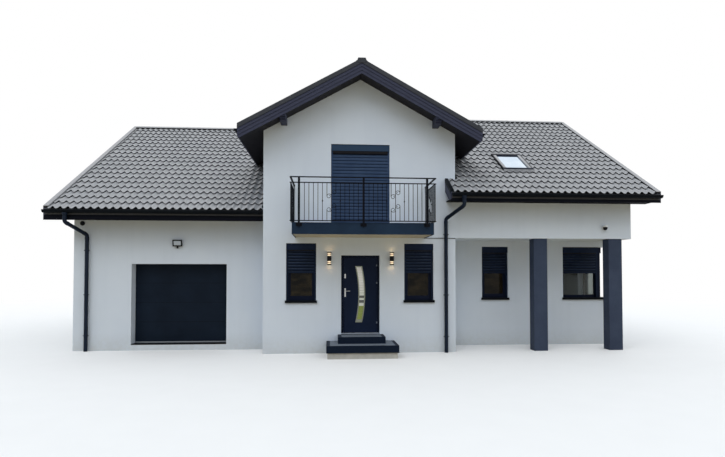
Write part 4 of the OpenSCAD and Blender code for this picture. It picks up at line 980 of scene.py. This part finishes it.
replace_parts(verge_cappings(), "verge_flashings")
# Painted shade: the legs on the main roof's verge and on the inner verges are dark sheet metal, while the
# garage's outer leg keeps the cappings' pale metal.
capping_legs("capping_legs", METAL, capping_runs()[:1] + capping_runs()[2:])
capping_legs("capping_leg_left", VERGE, capping_runs()[1:2])
gable_capping()
dark_flashings()
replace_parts(ridge_metal(), "ridge_caps")
ridge_end()


# The centre gable's front boards, the small gutters along its two eaves, and the long eaves' fascias

SOFFIT_T = 0.02
FASCIA_T = 0.025
MAIN_FASCIA = 4.03
GARAGE_FASCIA = 3.54
SMALL_GUTTER_R = 0.045
SMALL_GUTTER_T = 0.003
SMALL_GUTTER_DROP = 0.075


def stepped_boards():
    """Two lapped boards on the gable's front, each standing proud of the one below."""
    bars = [([(-out, low), (-out + 0.004, top), (0.002, top), (0.002, low)],
             gable_path(cross_low.y - BOARD_T), ALONG_Y)
            for top, low, out in ((-0.030, -0.132, 0.022), (-0.125, -0.226, 0.012))]
    return bar_piece("stepped_boards", bars, TIMBER)


def gable_gutters():
    """Small half-round gutters along the eaves of the centre gable roof, with closed ends."""
    disc = arc(SMALL_GUTTER_R, math.pi, 2 * math.pi, 12)
    channel = disc + arc(SMALL_GUTTER_R - SMALL_GUTTER_T, 2 * math.pi, math.pi, 12)
    front = cross_low.y - BOARD_T
    rim = cross_edge - SMALL_GUTTER_DROP
    bars = []
    for side, ridge_y, ridge in ((-1, garage_ridge_y, garage_ridge), (1, 0, main_ridge)):
        x = side * (cross_run + BOARD_T + SMALL_GUTTER_R)
        back = ridge_y - (ridge - rim) / math.tan(PITCH) - 0.12
        bars.append((channel, [(x, front, rim), (x, back, rim)], ALONG_X))
        for y in (front, back - SMALL_GUTTER_T):
            bars.append((disc, [(x, y, rim), (x, y + SMALL_GUTTER_T, rim)], ALONG_X))
    return bar_piece("gable_gutters", bars, METAL, sharp=40)


def fascia_boards():
    """Dark boards along the eaves' front edges, from the soffits down, in the soffits' near-black painted
    shade.
    """
    garage_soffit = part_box("soffits")[0].z
    main_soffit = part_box("soffits")[1].z - SOFFIT_T
    boxes = []
    for x0, x1, y, way, low, high in (
            (return_outer, main_outer, main_low.y, 1, MAIN_FASCIA, main_soffit),
            (-HALF_FRONT, main_outer, rear_high.y, -1, MAIN_FASCIA, main_soffit),
            (garage_outer, -HALF_FRONT, garage_low.y, 1, GARAGE_FASCIA, garage_soffit),
            (garage_outer, -HALF_FRONT, garage_rear_high.y, -1, GARAGE_FASCIA, garage_soffit)):
        y0, y1 = sorted((y, y + way * FASCIA_T))
        boxes.append(((x0, y0, low), (x1, y1, high)))
    # The soffits' finish: stained boards darkened as painted shade.
    return box_piece("fascia_boards", boxes, SOFFIT)


stepped_boards()
gable_gutters()
fascia_boards()


# Roller shutters: slats, bottom bars, and dark strips as painted shadow under the boxes, over each curtain

CURTAIN_IN = 0.075
SHADOW_STRIP_IN = 0.03
END_BAR = 0.05
# Lower end, upper end, a slat's height, how far it stands out, and the drop of the dark strip under the box
WINDOW_CURTAIN = (2.145, 2.765, 0.082, 0.012, 0.032)
BALCONY_CURTAIN = (3.455, BALCONY_CURTAIN_TOP, 0.0895, 0.007, 0.075)
# Middle, wall face, width, and what the curtain's kind gives
CURTAINS = [
    (-1.59, WALL_FACE, 0.70, *WINDOW_CURTAIN),
    (1.59, WALL_FACE, 0.70, *WINDOW_CURTAIN),
    (4.135, PORCH_FACE, 0.70, *WINDOW_CURTAIN),
    (6.80, PORCH_FACE, 1.02, *WINDOW_CURTAIN),
    (0.0, WALL_FACE, 1.49, *BALCONY_CURTAIN),
]
# A slat's profile: how far out, and how far down as a share of its height
SLAT_CROWN = [(0, 0), (-0.35, 0.03), (-0.8, 0.16), (-1, 0.45), (-0.9, 0.72), (-0.5, 0.82), (0, 0.86)]


def shutter_slats():
    """Crowned slats with a groove between them, and a bar at each bottom."""
    bm = bmesh.new()
    for x, face, width, low, high, slat, out, _ in CURTAINS:
        y = face + CURTAIN_IN
        section = []
        z = high
        while z > low + END_BAR + slat / 2:
            section += [(y + out * proud, z - share * slat) for proud, share in SLAT_CROWN]
            z -= slat
        section.append((y, z))
        ends = [[bm.verts.new((x + side * width / 2, a, b)) for a, b in section] for side in (-1, 1)]
        bridge(bm, *ends, len(section) - 1)
        add_bevelled(bm, (x - width / 2, y - 0.014, low - 0.004), (x + width / 2, y + 0.016, z), 0.004)
    return add_piece("shutter_slats", bm, SHUTTER, sharp=60)


def box_shadow_strips():
    """Dark strip under each shutter box, in front of the curtain: a painted shadow under the box."""
    boxes = [((x - width / 2, face + SHADOW_STRIP_IN, high - drop), (x + width / 2, face + CURTAIN_IN, high))
             for x, face, width, _, high, _, _, drop in CURTAINS]
    return box_piece("box_shadow_strips", boxes, BLACK, bevel=0.004)


shutter_slats()
box_shadow_strips()


# Gutters: rolled front edge and brackets

GUTTER_R = 0.075
GUTTER_DROP = 0.05
BEAD_R = 0.009
BRACKET_STEP = 0.7
BRACKET_IN = 0.1
BRACKET_HALF = 0.014


def gutter_trim():
    """Beads on the gutters' front edges, and brackets across the gutters."""
    bm = bmesh.new()
    for x0, x1, edge_y, edge_z, way in (
            (HALF_FRONT - RETURN, main_high.x, main_low.y, main_edge, -1),
            (main_low.x, main_high.x, rear_high.y, main_edge, 1),
            (garage_low.x, -HALF_FRONT, garage_low.y, garage_edge, -1),
            (garage_low.x, -HALF_FRONT, garage_rear_high.y, garage_edge, 1)):
        lip_y = edge_y + way * (2 * GUTTER_R - BEAD_R)
        rim = edge_z - GUTTER_DROP
        add_section(bm, circle(BEAD_R, 12), [(x0, lip_y, rim), (x1, lip_y, rim)])
        low_y, high_y = sorted((edge_y, lip_y + way * 0.004))
        count = int((x1 - x0) / BRACKET_STEP)
        for i in range(count + 1):
            x = x0 + BRACKET_IN + (x1 - x0 - 2 * BRACKET_IN) * i / count
            add_bevelled(bm, (x - BRACKET_HALF, low_y, rim + 0.004), (x + BRACKET_HALF, high_y, rim + 0.010),
                         0.0015)
    return add_piece("gutter_trim", bm, METAL, sharp=40)


gutter_trim()


# Downpipes

PIPE_R = 0.05
PIPE_OFF = 0.085
PIPE_BEND = 0.09
OUTLET_H = 0.235
SWAN_H = 0.52
CORNER_PIPE = 0.28
CORNER_SWAN = 0.34
GABLE_PIPE = 0.385
GABLE_SWAN = 0.26
SOCKET_R = 0.068
COLLAR_OUT = 0.005
COLLAR_OFF = 0.03
CLIP_HEIGHTS = (0.43, 1.55)
TOP_CLIP_DROP = 0.43
CLIP_EAR = 0.012


def add_downpipe(bm, outlet, wall_x, wall_y, way):
    """Adds a downpipe from a gutter's outlet to the ground; way is -1 in front and 1 behind the house."""
    pipe_y = wall_y + way * PIPE_OFF
    down = Vector((0, 0, -1))
    top = Vector(outlet)
    elbow = top + down * OUTLET_H
    bend = Vector((wall_x, pipe_y, top.z - SWAN_H))
    path = rounded_path([top, elbow, bend, (wall_x, pipe_y, 0.0)], PIPE_BEND)
    add_tube(bm, path, [PIPE_R] * len(path), 28)
    socket = [top - down * 0.012, top + down * 0.03, top + down * 0.07]
    add_tube(bm, socket, [SOCKET_R, SOCKET_R - 0.002, PIPE_R + 0.003], 28)
    neck = (bend - elbow).normalized()
    reach = PIPE_BEND / math.tan((-down).angle(neck) / 2) + COLLAR_OFF
    for at, along, length in (
            (elbow - down * reach, down, 0.06), (elbow + neck * reach, neck, 0.06),
            (bend - neck * reach, neck, 0.06), (bend + down * (reach + 0.005), down, 0.07)):
        add_collar(bm, at, along, PIPE_R + COLLAR_OUT, length)
    for z in (*CLIP_HEIGHTS, top.z - SWAN_H - TOP_CLIP_DROP):
        add_collar(bm, (wall_x, pipe_y, z), down, PIPE_R + 0.004, 0.026, 0.001)
        low_y, high_y = sorted((wall_y, pipe_y - way * PIPE_R))
        add_bevelled(bm, (wall_x - 0.008, low_y, z - 0.009), (wall_x + 0.008, high_y, z + 0.009), 0.002)
        for side in (-1, 1):
            x = wall_x + side * (PIPE_R + CLIP_EAR)
            add_bevelled(bm, (x - CLIP_EAR, pipe_y - 0.005, z - 0.011),
                         (x + CLIP_EAR, pipe_y + 0.005, z + 0.011), 0.0015)


def downpipes():
    """The four downpipes, at the corners of the house and the garage."""
    bm = bmesh.new()
    main_out = main_edge - GUTTER_DROP - GUTTER_R
    garage_out = garage_edge - GUTTER_DROP - GUTTER_R
    corner_x = HALF_FRONT - CORNER_PIPE
    left_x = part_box("garage_left_wall")[0].x + GABLE_PIPE
    right_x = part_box("right_gable_wall")[1].x - GABLE_PIPE
    for wall_x, swan, edge_y, outlet_z, wall_y, way in (
            (corner_x, CORNER_SWAN, main_low.y, main_out, WALL_FACE, -1),
            (left_x, -GABLE_SWAN, garage_low.y, garage_out, GARAGE_FACE, -1),
            (right_x, GABLE_SWAN, rear_high.y, main_out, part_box("rear_wall")[1].y, 1),
            (left_x, -GABLE_SWAN, garage_rear_high.y, garage_out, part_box("garage_rear_wall")[1].y, 1)):
        add_downpipe(bm, (wall_x + swan, edge_y + way * GUTTER_R, outlet_z), wall_x, wall_y, way)
    return add_piece("downpipe_runs", bm, PIPE, sharp=40)


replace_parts(downpipes(), "downpipes")


# Skylight: flashing, apron, raised sash and the pale covers on its sides

def skylight_boxes(name, boxes, material):
    """A piece of boxes on the slope, measured from the middle of the skylight's lower edge."""
    x0, x1, v0, _ = skylight_place()
    matrix = MAIN_FRONT.matrix @ Matrix.Translation(((x0 + x1) / 2, v0, 0))
    return box_piece(name, boxes, material, matrix=matrix)


def skylight_trim():
    """Dark flashing round the frame, the sash's lower and upper bar, and pale covers between them."""
    x0, x1, v0, v1 = skylight_place()
    half, length = (x1 - x0) / 2, v1 - v0
    out, crest = half + FLASHING_W, CAP_H + 0.005
    back = length + 2 * FLASHING_W
    skylight_boxes("skylight_flashing", [
        ((-out, -0.035, 0), (-half, back, crest)), ((half, -0.035, 0), (out, back, crest)),
        ((-out, length, 0), (out, back, crest))], METAL)
    edge = half + 0.01
    skylight_boxes("skylight_sash", [
        ((-edge, -0.02, 0.02), (edge, 0.055, SASH_TOP)),
        ((-edge, length - 0.045, 0.07), (edge, length + 0.01, COVER_TOP))], FRAME)
    skylight_boxes("skylight_covers", [
        ((-edge, 0.05, 0.062), (COVER_W - half, length - 0.04, COVER_TOP)),
        ((half - COVER_W, 0.05, 0.062), (edge, length - 0.04, COVER_TOP))], VERGE)


def skylight_apron():
    """Pleated apron below the skylight, laid over the tiles' waves."""
    x0, x1, v0, _ = skylight_place()
    start, end = x0 - FLASHING_W, x1 + FLASHING_W
    count = round((end - start) / (WAVE / WAVE_PARTS))
    bm = bmesh.new()
    rows = []
    for i in range(count + 1):
        u = start + (end - start) * i / count
        tile = TILE_BASE + wave_height(u) + STEP + 0.003
        line = [(-0.015, CAP_H - 0.03), (-0.02, CAP_H + 0.006), (-0.05, CAP_H + 0.006),
                (-0.09, tile + 0.004), (-0.17, tile), (-0.172, tile - 0.008)]
        rows.append([bm.verts.new((u, v0 + v, z)) for v, z in line])
    for left, right in zip(rows, rows[1:]):
        bridge(bm, left, right, len(left) - 1)
    return add_piece("skylight_apron", MAIN_FRONT.place(bm), APRON, sharp=50)


skylight_trim()
skylight_apron()


# Wall lamps

LAMP_X = 0.84
LAMP_Z = 2.53
LAMP_OUT = 0.095
LAMP_R = 0.058
LAMP_HALF = 0.07
LENS_R = 0.047
ROD_R = 0.003
ROD_IN = 0.052
LAMP_RINGS = ((0.104, 0.118), (0.144, 0.17))


def wall_lamp(side):
    """Up and down light: black body, ringed glass at both ends with a lit disc, on a wall bracket."""
    place = Matrix.Translation((side * LAMP_X, WALL_FACE - LAMP_OUT, LAMP_Z))
    body, lens, glow = bmesh.new(), bmesh.new(), bmesh.new()
    rim, shoulder = LAMP_R - FOLD, LAMP_HALF - FOLD
    add_lathe(body, [(0, -LAMP_HALF), (rim, -LAMP_HALF), (LAMP_R, -shoulder), (LAMP_R, shoulder),
                     (rim, LAMP_HALF), (0, LAMP_HALF)], place)
    add_bevelled(body, (-0.035, 0.03, -0.055), (0.035, LAMP_OUT, 0.055), 0.004, place)
    for way in (-1, 1):
        for low, high in LAMP_RINGS:
            ring = [(0.048, low), (0.056, low), (LAMP_R, low + 0.003), (LAMP_R, high - 0.003), (0.055, high),
                    (0.048, high)]
            add_lathe(body, [(r, way * z) for r, z in ring], place)
        for x, y in arc(ROD_IN, math.pi / 4, math.pi * 7 / 4, 3):
            add_lathe(body, drum(ROD_R, way * 0.066, way * 0.16), place @ Matrix.Translation((x, y, 0)), 8)
        lit = [(0, 0.071), (0.045, 0.071), (LENS_R, 0.075), (LENS_R, 0.154), (0.044, 0.158), (0, 0.158)]
        add_lathe(lens, [(r, way * z) for r, z in lit], place)
        add_lathe(glow, drum(0.038, way * 0.159, way * 0.163), place)
    add_piece(f"lamp_body_{side + 1}", body, BLACK)
    add_piece(f"lamp_glow_{side + 1}", glow, LAMP_GLOW)
    return add_piece(f"lamp_lens_{side + 1}", lens, WARM_LENS)


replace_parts(wall_lamp(-1), "wall_lamps")
wall_lamp(1)


# Fittings: floodlight, vent and sensor

FLOOD_X = (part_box("garage_door")[0].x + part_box("garage_door")[1].x) / 2 - 0.04
FLOOD_Z = 2.98
FLOOD_OUT = 0.075
FLOOD_TILT = math.radians(12)
FLOOD_HALF_W = 0.13
FLOOD_HALF_H = 0.093
FLOOD_RIM = 0.032
VENT = (-7.65, 3.52)
VENT_R = 0.053
SENSOR = (6.82, 3.42)
DOME_R = 0.057


def floodlight():
    """Die-cast floodlight: framed glass in front, fins behind, a bracket and a motion sensor below."""
    place = (Matrix.Translation((FLOOD_X, GARAGE_FACE - FLOOD_OUT, FLOOD_Z))
             @ Matrix.Rotation(FLOOD_TILT, 4, "X"))
    bm = bmesh.new()
    w, h = FLOOD_HALF_W, FLOOD_HALF_H
    inner_w, inner_h = w - FLOOD_RIM, h - FLOOD_RIM
    add_bevelled(bm, (-w, -0.012, -h), (w, 0.02, h), 0.006, place)
    for x0, x1, z0, z1 in ((-w, w, inner_h, h), (-w, w, -h, -inner_h), (-w, -inner_w, -h, h),
                           (inner_w, w, -h, h)):
        add_bevelled(bm, (x0, -0.022, z0), (x1, -0.008, z1), 0.003, place)
    for i in range(9):
        x = -0.1 + 0.025 * i
        add_bevelled(bm, (x - 0.002, 0.018, -0.07), (x + 0.002, 0.036, 0.07), 0.0008, place)
    flat = Matrix.Translation((FLOOD_X, GARAGE_FACE, FLOOD_Z))
    add_bevelled(bm, (-0.03, -FLOOD_OUT + 0.02, -0.02), (0.03, 0.0, 0.02), 0.003, flat)
    motion_eye = [(0, -0.155), (0.016, -0.152), (0.025, -0.14), (0.026, -0.1), (0.022, -0.088), (0, -0.088)]
    add_lathe(bm, motion_eye, flat @ Matrix.Translation((0, -0.06, 0)))
    add_piece("floodlight", bm, BLACK)
    pane = ((-inner_w, -0.017, -inner_h), (inner_w, -0.011, inner_h))
    return box_piece("floodlight_glass", [pane], PALE_LENS, 0.002, place)


def round_vent():
    """Round louvre in a raised ring."""
    place = Matrix.Translation((VENT[0], GARAGE_FACE, VENT[1])) @ FACING_FRONT
    bm = bmesh.new()
    add_lathe(bm, [(VENT_R, 0.0), (0.065, 0.0), (0.065, 0.010), (0.062, 0.014), (0.055, 0.014),
                   (VENT_R, 0.010), (VENT_R, 0.003), (0, 0.003)], place)
    for i in range(7):
        z = -0.045 + 0.015 * i
        half = math.sqrt(VENT_R ** 2 - z ** 2)
        tilt = Matrix.Translation((0, z, 0.006)) @ Matrix.Rotation(math.radians(35), 4, "X")
        add_bevelled(bm, (-half, -0.007, -0.001), (half, 0.007, 0.001), 0.0004, place @ tilt)
    return add_piece("round_vent", bm, BLACK)


def dome_sensor():
    """White housing on a wall plate, with a black ball that looks down out of it."""
    x, z = SENSOR
    hang = Matrix.Translation((x, WALL_FACE - 0.068, z))
    base, ball = bmesh.new(), bmesh.new()
    add_lathe(base, [(0, 0), (0.060, 0), (0.060, 0.008), (0.054, 0.014), (0, 0.014)],
              Matrix.Translation((x, WALL_FACE, z)) @ FACING_FRONT)
    add_lathe(base, [(0, 0.004), (0.058, 0.004), (0.063, 0.008), (0.063, 0.034), (0.054, 0.05),
                     (0.036, 0.058), (0, 0.062)], hang)
    arm = ((x - 0.03, WALL_FACE - 0.06, z + 0.008), (x + 0.03, WALL_FACE - 0.01, z + 0.045))
    add_bevelled(base, *arm, 0.004)
    add_piece("sensor_base", base, WHITE)
    curve = [(r, height - 0.03) for r, height in arc(DOME_R, -math.pi * 11 / 24, math.pi / 6, 15)]
    add_lathe(ball, [(0, -0.03 - DOME_R)] + curve + [(0, curve[-1][1])], hang)
    return add_piece("sensor_ball", ball, BLACK)


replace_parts(floodlight(), "wall_fittings")
round_vent()
dome_sensor()


# Trim: the drip strip between balcony and porch beam, the door's plinth and the garage's sill sheet

def drip_strip():
    """Metal strip over the joint between the storeys."""
    section = [(0, 0), (-0.012, -0.003), (-0.014, -0.015), (-0.010, -0.015), (-0.006, -0.009), (0, -0.009)]
    path = [(x, WALL_FACE, ROOM_TOP) for x in (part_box("balcony_trim")[1].x, HALF_FRONT)]
    return bar_piece("drip_strip", [(section, path, ALONG_Y)], METAL, sharp=35)


def door_plinth():
    """Granite upstand under the entrance door."""
    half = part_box("door_frame")[1].x
    box = ((-half, WALL_FACE - 0.012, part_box("entrance_steps")[1].z),
           (half, WALL_FACE + 0.004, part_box("door_frame")[0].z))
    return box_piece("door_plinth", [box], GRANITE)


def garage_sill():
    """Dark metal sheet over the threshold, in front of the garage door."""
    low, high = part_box("garage_threshold")
    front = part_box("garage_door")[0].y
    box = ((low.x + 0.004, low.y - 0.006, high.z - 0.014), (high.x - 0.004, front - 0.002, high.z + 0.004))
    return box_piece("garage_sill", [box], METAL, 0.002)


drip_strip()
door_plinth()
garage_sill()


# Floor, light and camera

FLOOR_SIZE = 70
FLOOR_FADE = (14.0, 34.0)
CAMERA_AT = (-0.82, WALL_FACE - 13.0, 2.09)
CAMERA_TURN = 3.85
CAMERA_RISE = 1.4
LENS, SENSOR_W = 24.0, 36.0
HORIZON = 46.5 / 725


def floor_material():
    """Pale floor that fades to white far out, and reflects less light than it shows."""
    s = Shader("floor")
    seen = s.seen()
    place = s.add("ShaderNodeVectorMath", {0: s.position}, operation="LENGTH").outputs["Value"]
    grain = s.mix(s.noise(1.5, 3.0), (0.80, 0.80, 0.795), (0.83, 0.83, 0.825))
    s.finish(s.mix(seen, (0.45, 0.38, 0.25), grain), 0.9)
    white = s.add("ShaderNodeEmission", {}).outputs[0]
    surface = s.fade(s.times(s.ramp(place, *FLOOR_FADE), seen), s.bsdf.outputs[0], white)
    s.link(surface, s.tree.nodes["Material Output"].inputs["Surface"])
    return s.material


def add_floor():
    bm = bmesh.new()
    bmesh.ops.create_grid(bm, x_segments=1, y_segments=1, size=FLOOR_SIZE)
    mesh = mesh_of(bm, "floor")
    mesh.materials.append(floor_material())
    floor = link_object("floor", mesh)


def add_world():
    """Soft light from all round, stronger from above, and white where the camera sees it."""
    world = bpy.data.worlds.new("studio")
    bpy.context.scene.world = world
    world.use_nodes = True
    world.node_tree.nodes.clear()
    n = Nodes(world.node_tree)
    height = n.axis_of(n.add("ShaderNodeTexCoord", {}).outputs["Generated"], "Z")
    strength = n.ramp(height, 0.0, 0.8, 0.35, 0.85)
    soft = n.add("ShaderNodeBackground", {"Color": (0.86, 0.93, 1.0), "Strength": strength})
    white = n.add("ShaderNodeBackground", {"Color": (1, 1, 1)})
    surface = n.fade(n.seen(), soft.outputs[0], white.outputs[0])
    n.add("ShaderNodeOutputWorld", {"Surface": surface})


def add_lamp(name, strength, angle, elevation, azimuth):
    """Broad lamp that shines from an azimuth, 0 being the front and 90 the right."""
    lamp = bpy.data.lights.new(name, "SUN")
    lamp.energy = strength
    lamp.angle = math.radians(angle)
    turn, rise = math.radians(azimuth), math.radians(elevation)
    towards = Vector((math.sin(turn) * math.cos(rise), -math.cos(turn) * math.cos(rise), math.sin(rise)))
    holder = link_object(name, lamp)
    holder.rotation_mode = "QUATERNION"
    holder.rotation_quaternion = towards.to_track_quat("Z", "Y")


def add_camera():
    """Camera at the photograph's angle: the rise and the shift put its horizon below the middle."""
    data = bpy.data.cameras.new("camera")
    data.lens = LENS
    data.sensor_width = SENSOR_W
    data.shift_y = HORIZON - math.tan(math.radians(CAMERA_RISE)) * LENS / SENSOR_W
    data.clip_end = 300
    camera = link_object("camera", data)
    camera.location = CAMERA_AT
    camera.rotation_euler = (math.radians(90 + CAMERA_RISE), 0, math.radians(-CAMERA_TURN))
    bpy.context.scene.camera = camera


add_floor()
add_world()
add_lamp("key", 1.05, 50, 55, -35)
add_lamp("fill", 0.7, 80, 40, 55)
add_lamp("back", 0.45, 80, 40, 170)
add_camera()
bpy.context.scene.view_settings.view_transform = "Standard"
